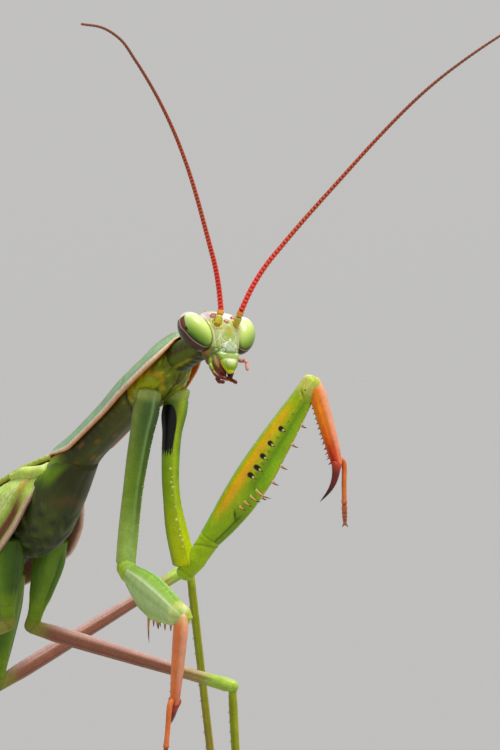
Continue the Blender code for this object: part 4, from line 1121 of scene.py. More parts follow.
def wing_leaf(side, start, reach, height, table, rows, columns, relief):
    """A folded wing, and for each point of its upper face the distance along it and in from its outer edge, in mm."""
    slope = math.radians(WING_SLOPE)
    along = vec(0, math.cos(slope), math.sin(slope))
    up = vec(0, -math.sin(slope), math.cos(slope))
    across = vec(side, 0, 0)
    share = np.linspace(0, 1, rows)
    half_width, lift, low, high = flow(table, share).T
    kept = np.where(share < 0.7, 1.0, np.sqrt(np.clip(1 - (np.clip(share - 0.7, 0, 1) / 0.3005) ** 2.6, 0.0004, 1)))
    low = ROUND_TO - (ROUND_TO - low) * kept
    high = ROUND_TO + (high - ROUND_TO) * kept
    centre = trunk(WING_ROOT) + along * (start + share * (reach - start))[:, None]
    reach_in = DROP * np.maximum(0, -low)

    def face(count, offset, grown):
        angle = low[:, None] + (high - low)[:, None] * np.linspace(0, 1, count)
        hang = DROP * np.maximum(0, -angle)
        bend = np.radians(np.maximum(0, angle))
        inward = np.where(angle < 0, reach_in[:, None] - hang, reach_in[:, None] + bend * 2.35)
        far = np.broadcast_to((share * (reach - start))[:, None], angle.shape)
        offset = offset + (relief(far, inward) if grown else 0.0)
        out = (half_width[:, None] + offset) * np.cos(bend) + SPLAY * hang
        rise = (height * lift[:, None] + offset) * np.sin(bend) - hang
        return centre[:, None] + across * out[..., None] + up * rise[..., None], far, inward

    upper, far, inward = face(columns, WING_THICK / 2, True)
    lower, _, _ = face(columns // 3, -WING_THICK / 2, False)
    return np.concatenate([upper, lower[:, ::-1]], axis=1), far, inward


def vein_mask(far, inward):
    """1 on a wing's long veins, which bend and fork towards the tip, and fainter on the net between them."""
    long_veins = np.zeros_like(far)
    for place, width in VEINS:
        drift = place * (1 + 0.0035 * far) + 0.05 * np.sin(far * 0.35 + place * 3)
        long_veins = np.maximum(long_veins, bell(inward, drift, width))
        fork = place + 0.27 * step(far, 16 + 1.7 * place, 24 + 1.7 * place)
        forked = 0.8 * bell(inward, fork * (1 + 0.0035 * far), width * 0.8) * (far > 16 + 1.7 * place)
        long_veins = np.maximum(long_veins, forked)
    lane = np.floor(inward / 0.55)
    net = bell(np.sin(math.pi * (far / 0.62 + 0.37 * lane + 0.25 * np.sin(far * 0.9 + lane))), 0, 0.26)
    return long_veins, net * step(inward, 0.9, 1.1)


def fan_ribs(far, inward):
    return 0.04 * np.sin(inward * 16) ** 2


def veins(far, inward):
    long_veins, net = vein_mask(far, inward)
    return 0.055 * long_veins + 0.018 * net - 0.05 * bell(inward, 1.28, 0.30) * step(far, 1.0, 3.0)


def underside(grid, upper, colour):
    """The colour of a wing's lower face, for the points of its grid that its upper face leaves."""
    return np.broadcast_to(tone(colour), (grid.shape[0], grid.shape[1] - upper.shape[1], 3)).copy()


def make_wings():
    """The two forewings, one a layer above the other, and the folded hindwings beneath them."""
    lowest = WING_HEIGHT - WING_LAYER
    for side, word in ((-1, "right"), (1, "left")):
        grid, far, inward = wing_leaf(side, HINDWING_START, HINDWING_END, lowest, HINDWING, 200, 60, fan_ribs)
        tint = paint("B5A568", ("8C7A44", np.sin(inward * 16) ** 4))
        clay = Clay()
        clay.grid(grid, np.concatenate([tint, underside(grid, tint, "A8985C")], axis=1))
        clay.object(word + "_hindwing_fold", [LEAF], [word + "_hindwing"])

        raised = WING_HEIGHT if side < 0 else WING_HEIGHT + WING_LAYER
        grid, far, inward = wing_leaf(side, 0.0, WING_LENGTH, raised, FOREWING, 380, 100, veins)
        long_veins, net = vein_mask(far, inward)
        tint = paint(
            "C6E07A",
            ("BCD46E", step(inward, 2.4, 4.6)),
            ("DDEB9A", 0.8 * bell(inward, 2.25, 0.45) * step(far, 0.6, 2.2)),
            ("B4A860", 0.45 * step(inward, 3.4, 5.6) * step(far, 14, 30)),
            ("8E9A3E", 0.8 * bell(inward, 1.25, 0.28)),
            ("6A3424", 0.97 * step(bell(inward, 0.70, 0.46), 0.15, 0.75) * step(far, 0.6, 2.2)),
            ("C89A84", fade(inward, 0.12, 0.30) * step(far, 0.3, 1.2)),
            ("E8D2C0", 0.8 * fade(inward, 0.0, 0.10)),
            ("DDAE50", 0.85 * bell(far, 1.0, 0.5) * bell(inward, 1.5, 0.45)),
            # Painted highlight: a near-white spot at the wing's base.
            ("F0F4E4", 0.85 * bell(far, 0.35, 0.5) * bell(inward, 2.0, 0.5)),
            ("E6EFB4", 0.5 * long_veins * step(inward, 1.4, 1.7)),
            ("7E9438", 0.35 * net),
        )
        under = underside(grid, tint, "AE9A5E")
        under[:, -6:] = tone("B88A74")
        clay = Clay()
        clay.grid(grid, np.concatenate([tint, under], axis=1))
        hinge = Joint(vec(side * 1.45, 17.75, 25.12), vec(side * 1.75, 20.7, 24.85), UP)
        knob, share, angle = hinge.skin(
            [(0.0, 0.36, 0.36, 0.40), (0.35, 0.48, 0.48, 0.60), (0.7, 0.44, 0.40, 0.60), (1.0, 0.30, 0.22, 0.40)],
            (0.35, 0.4), 70, 60,
            relief=lambda share, angle: 0.05 * np.sin(share * 9 + np.radians(angle)) - 0.05 * near(angle, 10, 12),
        )
        clay.grid(knob, paint(
            "C6DA72",
            # Painted highlight: near white on the top of the hinge knob.
            ("F2F4DC", 0.9 * near(angle, TOP + side * 30, 50) * bell(share, 0.25, 0.35)),
            ("C8B65A", 0.6 * near(angle, UNDER, 40)),
        ))
        clay.object(word + "_tegmen", [LEAF], [word + "_forewing"])


# ---- forelegs

COXA_TABLE = [
    (0.0, 0.78, 0.85, 0.72), (0.10, 0.84, 0.88, 0.74), (0.25, 0.74, 0.64, 0.56), (0.42, 0.68, 0.58, 0.50),
    (0.60, 0.62, 0.62, 0.43), (0.83, 0.62, 0.86, 0.52), (1.0, 0.60, 0.96, 0.54),
]
TROCHANTER_TABLE = [(0.0, 0.54, 0.58, 0.60), (0.35, 0.55, 0.56, 0.74), (1.0, 0.52, 0.55, 0.82)]
FEMUR_TABLE = [
    (0.0, 0.55, 0.55, 0.84), (0.12, 0.60, 0.66, 1.16), (0.28, 0.68, 0.82, 1.40), (0.42, 0.70, 0.88, 1.42),
    (0.58, 0.66, 0.84, 1.24), (0.75, 0.60, 0.74, 1.0), (0.90, 0.56, 0.62, 0.75), (1.0, 0.52, 0.60, 0.62),
]
TIBIA_TABLE = [
    (0.0, 0.40, 0.50, 0.36), (0.15, 0.45, 0.62, 0.42), (0.5, 0.41, 0.56, 0.40), (0.85, 0.33, 0.42, 0.36),
    (1.0, 0.28, 0.30, 0.32),
]
FULLER_RIGHT = 1.16         # how much fuller the right femur is
FEMUR_SKIN = 11.8           # mm from a fore femur's ring joint to its knee
# Spines of a fore femur: share along it, angle round it (0 inside, 90 on the back, -90 on the belly), length
BIG_INNER = [(0.410, -9, 0.46), (0.463, -13, 0.42), (0.531, -8, 0.44), (0.610, -5, 0.42), (0.707, -8, 0.38)]
SMALL_INNER = [(0.436, -12, 0.24), (0.497, -11, 0.24), (0.570, -7, 0.22), (0.658, -7, 0.22), (0.762, -6, 0.20),
               (0.808, -5, 0.24), (0.888, -2, 0.20)]
DISCOIDAL = [(0.236, -27, 0.50), (0.272, -30, 0.65), (0.315, -34, 0.85), (0.359, -38, 1.20)]
DISCOIDAL_RIGHT = [(0.20, -60, 0.60), (0.26, -64, 0.75), (0.34, -84, 1.75), (0.44, -70, 0.7), (0.50, -70, 0.5)]
OUTER = [(0.34, -84, 0.36), (0.441, -84, 0.50), (0.538, -84, 0.52), (0.667, -83, 0.48), (0.780, -82, 0.42)]
IVORY, HORN_BLACK = "E8DEB8", "140A08"


def turned(angle, side):
    """Angles round a foreleg as on the left one, whichever side it is on."""
    return away(angle if side > 0 else 180 - angle, 0)


def mirrored(angle, side):
    """An angle of the left foreleg, on the leg of a side."""
    return angle if side > 0 else 180 - angle


def bead(clay, place, out, size, tint):
    """A small round grain standing half out of the skin."""
    side = square_to(out)
    clay.grid(dome(place, size, side, np.cross(side, out), out, (4, 110), 8, 12)[0], tint)


def pinches(t, joints):
    """1 where two joints of a foot meet, and 0 between."""
    return np.clip(sum(bell(t, place, 0.012) for place in joints), 0, 1)


def ringed_foot(clay, path, radii, colours, joints):
    """A foot of five joints, pinched where they meet; gives its tip and the direction it ends in."""
    t = np.linspace(0, 1, len(path))
    pinch = pinches(t, joints)
    swell = sum(bell(t, place - 0.03, 0.02) for place in joints)
    size = flow(radii, t)[:, 0] * (1 - 0.30 * pinch) * (1 + 0.10 * swell)
    tint = paint(colours[0], (colours[1], step(t, 0.35, 0.95)), ("5A3420", 0.65 * pinch))
    clay.grid(tube_grid(path, size, 24), tint[:, None])
    return path[-1], unit(path[-1] - path[-4])


def claws(clay, tip, heading, down, size):
    """A foot's pair of hooked claws."""
    side = unit(np.cross(heading, down))
    for way in (1, -1):
        root = tip + side * way * 0.06
        point = root + heading * size * 0.72 + side * way * size * 0.42 + down * size * 0.30
        spine(clay, root, point, 0.065, "9A6038", "5A2A18", HORN_BLACK, 1, (heading - down) * size * 0.16, 12)


def make_fore_coxa(clay, coxa, side):
    """The ribbed and beaded first joint of a foreleg, with the black spot on its inner side."""
    def relief(share, angle):
        round_it = turned(angle, side)
        ribs = near(round_it, 262, 9) + near(round_it, 202, 8) + 0.7 * near(round_it, 98, 8)
        return (
            0.045 * ribs * step(share, 0.05, 0.14) - 0.05 * bell(share, 0.045, 0.012)
            - 0.05 * near(round_it, 230, 13) * step(share, 0.08, 0.2) * fade(share, 0.85, 0.97)
            - 0.04 * near(round_it, 150, 18) * step(share, 0.40, 0.5) * fade(share, 0.85, 0.97)
        )

    grid, share, angle = coxa.skin(COXA_TABLE, (0.3, 0.3), 230, 116, relief=relief)
    round_it = turned(angle, side)
    if side > 0:
        tint = paint(
            "627C34",
            ("94B616", step(share, 0.10, 0.38)),
            ("CCD81C", step(share, 0.45, 0.95)),
            ("7E9A1E", 0.8 * near(round_it, 110, 24) * step(share, 0.2, 0.4)),
            ("C8DA48", 0.6 * near(round_it, 222, 26)),
            ("668E40", 0.7 * near(round_it, 262, 22) * fade(share, 0.3, 0.7)),
        )
    else:
        tint = paint(
            "4E6A34",
            ("6E8E30", step(share, 0.15, 0.55)),
            ("A8C46A", step(share, 0.55, 0.98)),
            ("9CB87C", 0.7 * near(round_it, 254, 9)),
            ("4E6A3C", 0.6 * near(round_it, 225, 14) * fade(share, 0.6, 0.9)),
            ("8FA048", 0.6 * near(round_it, 330, 30)),
        )
    ragged = 0.016 * np.sin(np.radians(round_it) * 21) + 0.010 * np.sin(np.radians(round_it) * 47 + 1)
    reach = np.where(share < 0.22, 56 * np.sqrt(np.clip(1 - ((share - 0.22) / 0.158) ** 2, 0, 1)),
                     56 - 70 * (share - 0.22))
    spot = fade(aside(round_it, 151) - reach, -3, 2) * fade(share + ragged, 0.345, 0.360) * step(share, 0.062, 0.07)
    clay.grid(grid, paint(
        tint,
        # Painted highlight: paler at the top of the coxa.
        ("B4C070", 0.6 * fade(share, 0.02, 0.07)),
        ("0B0C08", spot),
    ))
    rows = [(262 if side > 0 else 208, 0.08, 0.92, 24, 0.030, "F4F6E4"), (98, 0.30, 0.90, 12, 0.03, "F0F2D2"),
            (192 if side > 0 else 170, 0.42, 0.93, 11, 0.085, "E0EA80")]
    for row, (middle, first, last, count, size, colour) in enumerate(rows):
        for i in range(count):
            at = first + (last - first) * (i + 0.5 * math.sin(i * 5.3 + row)) / (count - 1)
            real = middle + 7 * math.sin(i * 3.1 + row * 2)
            place, out = coxa.spot(COXA_TABLE, np.clip(at, 0.02, 0.98), mirrored(real, side), 0.02)
            grain = size * (0.75 + 0.5 * (0.5 + 0.5 * math.sin(i * 2.1 + row)))
            bead(clay, place, out, grain, colour)


def make_fore_femur(clay, femur, side, belly):
    """The thick thigh of a foreleg: its groove, gold stripe, black-footed spines, and knee lobes."""
    def relief(share, angle):
        a = turned(angle, side)
        sleeve = step(share, 0.05, 0.2) * fade(share, 0.85, 0.95)
        return (
            0.05 * bell(a, 90, 8) + 0.07 * bell(a, -4 - 8 * (1 - share), 8) * step(share, 0.26, 0.36)
            - 0.10 * bell(a, -46, 17) * step(share, 0.22, 0.36) * fade(share, 0.86, 0.95)
            - 0.12 * bell(share - 0.0016 * (a + 33), 0.182, 0.020) * bell(a, -33, 12)
            + 0.04 * (near(a, 145, 8) + near(a, 190, 8)) * sleeve
            + 0.08 * bell(share, 0.965, 0.035) * (bell(a, -8, 24) + near(a, 188, 24))
            - 0.05 * bell(share, 0.925 + 0.0006 * (a - 8), 0.009) * bell(a, 8, 24)
            - 0.03 * bell(a, 48, 9) * sleeve
        )

    fuller = 1.0 if side > 0 else FULLER_RIGHT
    table = [(row[0], *(size * fuller for size in row[1:])) for row in FEMUR_TABLE]
    grid, share, angle = femur.skin(table, (0.1, 0.42), 250, 136, relief=relief)
    a = turned(angle, side)
    outer = step(np.abs(a), 96, 128)
    gold = bell(a, 26 + 4 * share, 27) * step(share, 0.06, 0.24) * fade(share, 0.76, 0.90)
    # The outer face, with a painted highlight: a paler band high on it.
    far = paint("86AE4C", ("B8D488", bell(np.abs(a), 158, 26)), ("86AA4A", 0.8 * near(a, 236, 22)))
    tint = paint(
        "9CBE1C",
        ("A8C424", step(share, 0.5, 0.9)),
        # Painted highlight: paler bluish green along the back.
        ("93BE6E", 0.9 * bell(a, 86, 20)),
        ("E2BC10", 0.95 * np.clip(gold * 1.25, 0, 1)),
        ("EAAE0C", 0.8 * bell(a, 20, 17) * bell(share, 0.35, 0.17)),
        ("94C416", 0.9 * bell(a, -46, 24) * step(share, 0.20, 0.34)),
        ("C2D640", 0.65 * bell(a, -70, 9) * step(share, 0.3, 0.4)),
        ("6E9C1A", 0.7 * bell(a, -27, 9) * step(share, 0.30, 0.4) * fade(share, 0.86, 0.95)),
        ("5E7E24", 0.6 * bell(a, -62, 26) * fade(share, 0.16, 0.30)),
        (far, outer),
        ("DCE8BC", 0.8 * near(a, 145, 5) + 0.2 * near(a, 190, 5)),
    )
    if side < 0:
        tint = paint(
            tint,
            ("4E8040", 0.4 * near(a, 96, 9) + 0.4 * near(a, 262, 12)),
            ("B8D84E", 0.7 * near(a, 236, 14) * step(share, 0.3, 0.6)),
        )
    tint = paint(
        tint,
        ("DAD67C", 0.85 * bell(share, 0.975, 0.05) * (1 - 0.5 * outer)),
        ("E8E6B0", 0.7 * bell(a, 80, 30) * step(share, 0.97, 1.0)),
        ("8A6420", 0.85 * bell(share, 0.925 + 0.0006 * (a - 8), 0.007) * bell(a, 8, 20)),
        ("33440E", 0.75 * bell(a + 60 * (share - 0.1), -44, 4) * fade(share, 0.17, 0.22)),
        ("2A3A10", 0.9 * bell(share - 0.0016 * (a + 33), 0.182, 0.010) * bell(a, -33, 12)),
    )

    def dot(at, middle, size, wide=0.85):
        return bell(np.hypot((share - at) * FEMUR_SKIN, np.radians(a - middle) * wide), 0, size)

    dots = np.maximum.reduce([
        *(dot(at, middle + 6, 0.20) for at, middle, _ in BIG_INNER),
        *(0.55 * dot(at, middle, 0.08) for at, middle, _ in SMALL_INNER[:4]),
        0.9 * dot(0.95, 3, 0.075, 0.8),
    ])
    clay.grid(grid, paint(tint, ("0C0B06", step(dots, 0.34, 0.62))))

    def put(spines, radius, foot, shaft, lean, swing, kind=1):
        for at, middle, length in spines:
            place, out = femur.spot(table, at, mirrored(middle, side), -0.03)
            heading = unit(out * lean[0] + belly * lean[1] + femur.along * lean[2])
            spine(clay, place, place + heading * (length + 0.03), radius, foot, shaft, HORN_BLACK, kind,
                  femur.along * -swing * length)

    put(BIG_INNER, 0.085, "1A140A", "C8B070", (0.75, 0.75, 0.10), 0.12)
    put(SMALL_INNER, 0.055, IVORY, "B08A50", (0.75, 0.75, 0.10), 0.10)
    put(DISCOIDAL if side > 0 else DISCOIDAL_RIGHT, 0.10, "C8BC78", "CC8E4E", (0.35, 1.0, 0.12), 0.10)
    put(OUTER, 0.10, IVORY, "B07A48", (0.30, 1.0, 0.10), 0.10)
    for i in range(24):
        at = 0.30 + 0.58 * (i + 0.3 * math.sin(i * 1.9)) / 23
        place, out = femur.spot(table, at, mirrored(-76, side))
        bead(clay, place, out, 0.028 + 0.010 * math.sin(i * 2.3), "E6ECC0")
    for i in range(40):
        at = 0.04 + 0.90 * (i + 0.4 * math.sin(i * 4.0)) / 39
        place, out = femur.spot(table, at, 88 + 14 * math.sin(i * 2.7))
        bead(clay, place, out, 0.022 + 0.014 * (math.sin(i * 1.7) > 0.6), "EEF2DC")


def make_fore_tibia(clay, tibia, shin, side):
    """The orange last joint of a foreleg, with two rows of small spines below it."""
    def relief(share, angle):
        a = turned(angle, side)
        return (
            0.04 * bell(a, 90, 14) + 0.05 * bell(a, -55, 9) * step(share, 0.12, 0.2)
            - 0.05 * bell(a, -88, 16) * step(share, 0.15, 0.3)
            - 0.05 * bell(a, 15, 12) * step(share, 0.1, 0.3) * fade(share, 0.8, 0.95)
        )

    grid, share, angle = tibia.skin(TIBIA_TABLE, (0.42, 0.2), 160, 84, relief=relief)
    a = turned(angle, side)
    clay.grid(grid, paint(
        "F08A1E",
        ("D84E18", step(share, 0.35, 0.95)),
        # Painted highlight: pinkish white along the back edge.
        ("E8A88A", 0.85 * step(a, 12, 62) * (1 - 0.4 * step(share, 0.6, 0.95))),
        ("E07A40", 0.8 * step(np.abs(a), 96, 120)),
        ("F0C890", 0.8 * fade(share, -0.02, 0.10)),
        ("9C2818", 0.85 * bell(a, -20, 30) * step(share, 0.62, 0.95)),
    ))
    for middle, count in ((-62, 14), (-118, 10)):
        for i in range(count):
            at = 0.16 + 0.80 * i / (count - 1)
            place, out = tibia.spot(TIBIA_TABLE, at, mirrored(middle, side), -0.03)
            length = 0.15 + 0.16 * at
            heading = unit(out + shin * 0.35)
            spine(clay, place, place + heading * length, 0.055, "D8763A", "7A2418", HORN_BLACK, 1)


def make_fore_foot(clay, wrist, shin, shin_belly, outer, foot):
    """The thin foot of a foreleg, folded back beside the hook."""
    heel = wrist - shin * 0.2 - shin_belly * 0.45 + outer * 0.42
    ankle = heel + foot * 3.1
    toe = ankle + aim((140, -35)) * 1.9
    path = smooth_path([
        wrist - shin * 0.35 + outer * 0.1, heel + foot * 0.25, heel + foot * 1.7,
        ankle - foot * 0.05, ankle + (toe - ankle) * 0.5, toe,
    ], 220)
    tip, heading = ringed_foot(
        clay, path, [(0, 0.12), (0.06, 0.17), (0.5, 0.155), (0.58, 0.175), (0.75, 0.16), (0.9, 0.14), (1.0, 0.10)],
        ("D87A48", "B4644C"), (0.60, 0.70, 0.79, 0.87),
    )
    claws(clay, tip, heading, unit(-UP + heading * heading[2]), 0.30)


def towards(direction, other):
    """The direction, or its opposite if that is nearer to the other one."""
    return direction if np.dot(direction, other) > 0 else -direction


def make_foreleg(word, side):
    """A catching leg: coxa, ring joint and femur in one skin, then the spined tibia with its hook and foot."""
    pose = {joint: aim(direction) for joint, direction in FORE_POSE[word].items()}
    hip = vec(side * FORE_HIP[0], FORE_HIP[1], FORE_HIP[2])
    joint = hip + pose["coxa"] * COXA
    along, shin = pose["femur"], pose["tibia"]
    knee = joint + along * FORE_FEMUR
    wrist = knee + shin * FORE_TIBIA
    hinge = unit(np.cross(along, shin))
    belly = towards(np.cross(along, hinge), shin)
    shin_belly = towards(np.cross(shin, hinge), -along)
    ahead = unit(along - pose["coxa"] * np.dot(along, pose["coxa"]))

    clay = Clay()
    make_fore_coxa(clay, Joint(hip, joint - unit(joint - hip) * 0.35, -ahead, COXA_BOW), side)
    trochanter = Joint(joint - along * (0.30 if side > 0 else 0.0), joint + along * (TROCHANTER + 0.12), -belly)
    grid, share, angle = trochanter.skin(
        TROCHANTER_TABLE, (0.5, 0.05), 80, 76,
        relief=lambda share, angle: (
            0.03 * bell(share, 0.93, 0.05) - 0.035 * bell(share + 0.002 * turned(angle, side), 0.78, 0.035)
            - 0.03 * bell(share, 0.02, 0.05) + 0.03 * bell(share, 0.35, 0.12)
        ),
    )
    clay.grid(grid, paint(
        "A6C41C",
        ("A4C22C", step(share, 0.2, 0.8)),
        ("A9C878", 0.6 * bell(turned(angle, side), 100, 40)),
        ("5E7E1C", 0.5 * bell(share + 0.002 * turned(angle, side), 0.78, 0.025) + 0.3 * bell(share, 0.02, 0.04)),
    ))
    femur = Joint(joint + along * (TROCHANTER + 0.10), knee, -belly)
    make_fore_femur(clay, femur, side, belly)
    clay.object(word + "_foreleg", [LEG_SKIN, HORN], [
        word + "_fore_coxa", word + "_fore_trochanter", word + "_fore_femur",
    ])

    clay = Clay()
    make_fore_tibia(clay, Joint(knee + shin * 0.05, wrist, -shin_belly), shin, side)
    start = wrist - shin * 0.15
    tip = wrist + unit(shin * 0.75 + shin_belly * 0.66) * CLAW
    bulge = towards(np.cross(unit(tip - start), hinge), -shin_belly)
    spine(clay, start, tip, 0.29, "B04028", "6E1A14", "2A0E0C", 1, bulge * 0.34, 26)
    outer = towards(hinge, SIDEWAYS * side)
    make_fore_foot(clay, wrist, shin, shin_belly, outer, pose["foot"])
    clay.object(word + "_fore_shin", [LEG_SKIN, HORN], [word + "_fore_tibia", word + "_fore_foot"])


# ---- standing legs

HIP_TABLE = [(0.0, 0.85, 0.85, 1.05), (0.3, 0.82, 0.98, 1.05), (0.75, 0.62, 0.74, 0.76), (1.0, 0.50, 0.55, 0.55)]
THIGH_TABLE = [
    (0.0, 0.42, 0.46, 0.46), (0.06, 0.44, 0.50, 0.50), (0.15, 0.46, 0.54, 0.54), (0.5, 0.42, 0.47, 0.47),
    (0.82, 0.34, 0.38, 0.38), (0.92, 0.37, 0.44, 0.42), (0.97, 0.40, 0.50, 0.44), (1.0, 0.38, 0.46, 0.40),
]
SHIN_TABLE = [
    (0.0, 0.24, 0.28, 0.26), (0.03, 0.24, 0.28, 0.26), (0.08, 0.25, 0.28, 0.28), (0.5, 0.24, 0.26, 0.26),
    (0.9, 0.25, 0.27, 0.27), (0.97, 0.28, 0.31, 0.31), (1.0, 0.27, 0.29, 0.29),
]


def knee_of(joint, ankle, femur, tibia):
    """Where a standing leg's knee is, above the line from its hinge to its ankle."""
    reach = ankle - joint
    distance = np.linalg.norm(reach)
    along = reach / distance
    over = unit(UP - along * along[2])
    share = (distance**2 + femur**2 - tibia**2) / (2 * distance)
    return joint + along * share + over * math.sqrt(femur**2 - share**2)


def make_hip(clay, hip, joint, outward):
    """The first two joints of a standing leg, the puckered hip and the short ring below it."""
    short = unit(joint - hip)
    coxa = Joint(hip - short * 0.3, joint - short * 1.35, outward)
    grid, share, angle = coxa.skin(
        HIP_TABLE, (0.3, 0.3), 120, 76,
        relief=lambda share, angle: (
            0.05 * np.sin(np.radians(angle) * 4 + 1) * step(share, 0.1, 0.3) * fade(share, 0.8, 0.95)
            - 0.07 * near(angle, 60, 8) * step(share, 0.05, 0.2) - 0.06 * near(angle, 200, 7)
        ),
    )
    clay.grid(grid, paint(
        "567A22",
        ("3C5418", 0.8 * near(angle, 200, 50)),
        ("7C9C38", 0.7 * near(angle, 20, 40) + 0.5 * near(angle, 120, 20)),
        ("3A4A18", 0.5 * near(angle, 60, 7) * step(share, 0.05, 0.2)),
        ("8CAA38", 0.6 * step(share, 0.7, 1.0)),
    ))
    trochanter = Joint(joint - short * 1.5, joint, outward)
    grid, share, angle = trochanter.skin(
        [(0.0, 0.50, 0.54, 0.54), (0.6, 0.45, 0.49, 0.49), (1.0, 0.47, 0.50, 0.50)], (0.2, 0.42), 54, 60,
        relief=lambda share, angle: 0.02 * bell(share, 0.9, 0.15),
    )
    clay.grid(grid, paint(
        "7C9A30",
        ("8A8A3C", step(share, 0.4, 1.0)),
        ("4A5620", 0.2 * bell(share, 0.62, 0.06)),
    ))


def make_thigh(clay, femur):
    """A ridged and freckled thigh, with a painted highlight along its top and painted shade low on its flanks, and
    lobes at the knee.
    """
    grid, share, angle = femur.skin(
        THIGH_TABLE, (0.30, 0.42), 190, 68,
        relief=lambda share, angle: (
            0.025 * np.cos(np.radians(away(angle, TOP)) * 6) * step(share, 0.05, 0.12) * fade(share, 0.88, 0.94)
            + 0.07 * bell(share, 0.965, 0.03) * bell(aside(angle, TOP), 90, 40)
            - 0.05 * bell(share, 0.985, 0.010) * near(angle, UNDER, 50)
        ),
    )
    down = aside(angle, TOP)
    grains = np.maximum(0, np.sin(share * 310 + 2 * np.sin(down * 0.1)) * np.sin(np.radians(down) * 17)) ** 4
    clay.grid(grid, paint(
        "98644E",
        # Painted light and shade: pale pink along the top, darker low on the flanks.
        ("BEA09A", bell(down, 0, 46)),
        ("7E4E40", 0.5 * bell(down, 110, 24)),
        ("9AA04A", 0.85 * fade(share, 0.02, 0.12)),
        ("ACCA5C", 0.95 * step(share, 0.80, 0.93)),
        ("A8A060", 0.5 * bell(share, 0.80, 0.06)),
        ("5A3024", 0.45 * grains * fade(share, 0.78, 0.9)),
        ("BFC870", 0.6 * bell(down, 20, 30) * step(share, 0.90, 0.96)),
        ("4A5A1C", 0.5 * bell(share, 0.985, 0.010) * bell(down, 180, 50)),
    ))


def make_shin(clay, tibia, shin):
    """A thin shin with two rows of fine spines and a pair of spurs at its end."""
    grid, share, angle = tibia.skin(
        SHIN_TABLE, (0.26, 0.2), 190, 44,
        relief=lambda share, angle: (
            0.02 * np.cos(np.radians(away(angle, TOP)) * 5) * step(share, 0.06, 0.12)
            + 0.02 * np.maximum(0, np.sin(share * 130)) ** 8 * bell(aside(angle, UNDER), 30, 12)
        ),
    )
    clay.grid(grid, paint(
        "8E962E",
        ("93803A", step(share, 0.2, 0.9)),
        ("9EAE3C", 0.8 * fade(share, 0.03, 0.10)),
        ("B4B05E", 0.6 * near(angle, TOP, 30)),
        ("8A5A44", 0.55 * step(share, 0.80, 0.97)),
    ))
    for i in range(14):
        at = 0.15 + 0.78 * i / 13
        for middle in (240, 300):
            place, out = tibia.spot(SHIN_TABLE, at, middle, -0.02)
            spine(clay, place, place + unit(out + shin * 1.2) * 0.24, 0.028, "A89A50", "7A5A30", "3A2414", 0, sides=6)
    for angle_at in (215, 325):
        place, out = tibia.spot(SHIN_TABLE, 0.97, angle_at, -0.04)
        tip = place + unit(out * 0.75 + shin) * 0.50
        if tip[2] > 0.04:
            spine(clay, place, tip, 0.07, "A8884A", "8A4A2A", HORN_BLACK, 1)


def make_foot(clay, ankle, toes, length):
    """A foot of five joints lying flat on the floor, with its claws."""
    sole = vec(ankle[0], ankle[1], 0.20)
    foot = Joint(sole - toes * 0.1, sole + toes * length, UP)
    joints = (0.48, 0.66, 0.79, 0.90)

    def pads(share, angle):
        return -0.07 * pinches(share, joints) + 0.03 * sum(bell(share, place - 0.035, 0.025) for place in joints)

    grid, share, angle = foot.skin(
        [(0.0, 0.24, 0.30, 0.32), (0.12, 0.20, 0.24, 0.30), (0.45, 0.20, 0.22, 0.28), (0.60, 0.22, 0.20, 0.28),
         (0.88, 0.22, 0.19, 0.28), (1.0, 0.18, 0.17, 0.26)], (0.15, 0.15), 170, 44, relief=pads,
    )
    grid[..., 2] = np.maximum(grid[..., 2], 0)
    clay.grid(grid, paint(
        "A8905A",
        ("9A6A48", step(share, 0.3, 0.9)),
        ("4A3018", 0.65 * pinches(share, joints)),
    ))
    claws(clay, foot.centre(0.99) + UP * 0.06, toes, -UP * 0.6, 0.42)


def make_standing_leg(word, plan):
    """A walking leg in one skin, from where it leaves the chest to its claws."""
    kind = word.split("_")[1]
    hip, joint = vec(*plan["hip"]), vec(*plan["joint"])
    ankle = vec(*plan["ankle"], ANKLE_HEIGHT)
    knee = knee_of(joint, ankle, FEMUR[kind], TIBIA[kind])
    outward = unit(vec(ankle[0] - joint[0], ankle[1] - joint[1], 0))
    thigh, shin = unit(knee - joint), unit(ankle - knee)
    clay = Clay()
    make_hip(clay, hip, joint, outward)
    make_thigh(clay, Joint(joint + thigh * 0.05, knee, UP))
    make_shin(clay, Joint(knee - shin * 0.02, ankle, outward), shin)
    make_foot(clay, ankle, aim((plan["toes"], 0)), FOOT[kind])
    parts = ("coxa", "trochanter", "femur", "tibia", "foot")
    clay.object(word + "_leg", [LEG_SKIN, HORN], [word + "_" + part for part in parts])


# ---- floor, light and camera

FLOOR_TONE = 0.36
FLOOR_SIZE = 40.0                   # metres from the middle to an edge
HORIZON, ZENITH = (0.853, 0.846, 0.829, 1), (1.0, 1.0, 1.0, 1)
SKY_STRENGTH = 0.62
SUN_ENERGY, SUN_WIDTH, SUN_FROM = 2.9, 24.0, (0.10, -0.35, 1.0)


def colour_ramp(tree, first, last):
    ramp = node(tree, "ShaderNodeValToRGB")
    ramp.color_ramp.elements[0].color, ramp.color_ramp.elements[1].color = first, last
    return ramp


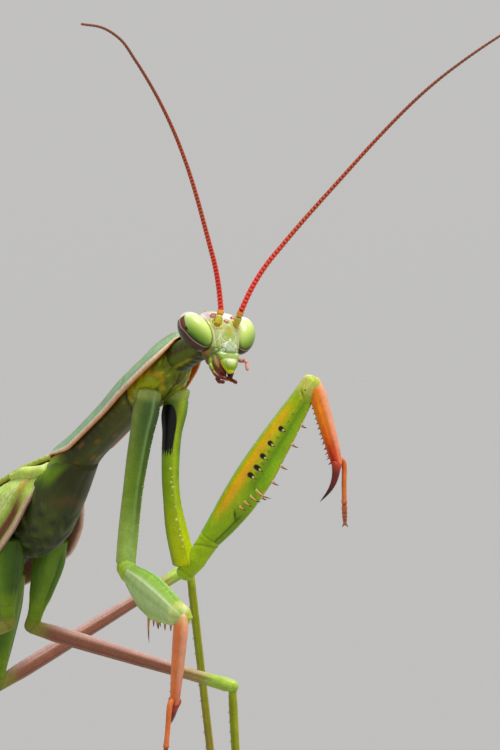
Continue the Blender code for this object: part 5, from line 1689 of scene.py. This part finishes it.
def make_floor():
    """A wide pale floor with a faint grain."""
    mesh = bpy.data.meshes.new("floor")
    corners = [(x * FLOOR_SIZE, y * FLOOR_SIZE, 0) for x, y in ((-1, -1), (1, -1), (1, 1), (-1, 1))]
    mesh.from_pydata(corners, [], [(0, 1, 2, 3)])
    floor = bpy.data.objects.new("floor", mesh)
    bpy.context.scene.collection.objects.link(floor)
    made, tree, shader = new_material("pale_floor")
    place = node(tree, "ShaderNodeTexCoord")
    grain = node(tree, "ShaderNodeTexNoise", Scale=900.0, Detail=4.0)
    tree.links.new(place.outputs["Object"], grain.inputs["Vector"])
    tones = colour_ramp(tree, (FLOOR_TONE * 0.97, FLOOR_TONE * 0.96, FLOOR_TONE * 0.94, 1),
                        (FLOOR_TONE * 1.03, FLOOR_TONE * 1.02, FLOOR_TONE, 1))
    tree.links.new(grain.outputs["Fac"], tones.inputs["Fac"])
    tree.links.new(tones.outputs["Color"], shader.inputs["Base Color"])
    fill(shader, Roughness=0.9, Specular_IOR_Level=0.1)
    mesh.materials.append(made)


def make_light():
    """An even sky, bright above and as pale as the floor at the horizon, and a wide soft sun."""
    world = bpy.data.worlds.new("soft_sky")
    bpy.context.scene.world = world
    world.use_nodes = True
    tree = world.node_tree
    background = tree.nodes["Background"]
    place = node(tree, "ShaderNodeTexCoord")
    split = node(tree, "ShaderNodeSeparateXYZ")
    tree.links.new(place.outputs["Generated"], split.inputs["Vector"])
    sky = colour_ramp(tree, HORIZON, ZENITH)
    tree.links.new(split.outputs["Z"], sky.inputs["Fac"])
    tree.links.new(sky.outputs["Color"], background.inputs["Color"])
    background.inputs["Strength"].default_value = SKY_STRENGTH

    sun = bpy.data.lights.new("soft_key", "SUN")
    sun.energy = SUN_ENERGY
    sun.angle = math.radians(SUN_WIDTH)
    key = bpy.data.objects.new("soft_key", sun)
    bpy.context.scene.collection.objects.link(key)
    key.rotation_mode = "QUATERNION"
    key.rotation_quaternion = Vector(SUN_FROM).to_track_quat("Z", "Y")


CAMERA_AZIMUTH = 37.6               # degrees to the animal's right of straight ahead
CAMERA_AWAY, CAMERA_HEIGHT = 300.0, 31.4
CAMERA_AIM_X = 1.78
FRAME_HEIGHT = 46.875               # mm seen from top to bottom at the head
SENSOR = 36.0


def make_camera():
    """A level camera, far off and narrow, in front of the animal and to its right."""
    turn = math.radians(CAMERA_AZIMUTH)
    back = vec(-math.sin(turn), -math.cos(turn), 0)
    data = bpy.data.cameras.new("camera")
    camera = bpy.data.objects.new("camera", data)
    bpy.context.scene.collection.objects.link(camera)
    spot = vec(CAMERA_AIM_X, 0, CAMERA_HEIGHT) + back * CAMERA_AWAY
    camera.location = (spot + OFFSET) * MM
    camera.rotation_mode = "QUATERNION"
    camera.rotation_quaternion = Vector(back).to_track_quat("Z", "Y")
    data.sensor_width = SENSOR
    data.lens = SENSOR * CAMERA_AWAY / FRAME_HEIGHT
    data.clip_start, data.clip_end = 0.01, 100.0
    bpy.context.scene.camera = camera


make_camera()
make_floor()
make_light()
for side, word in ((1, "left"), (-1, "right")):
    make_eye(side, word)
    make_antenna(word)
    make_foreleg(word, side)
make_head()
make_mouth()
make_shield()
make_chest()
make_wings()
for word, plan in STANDING.items():
    make_standing_leg(word, plan)

bpy.context.scene.view_settings.view_transform = "Standard"
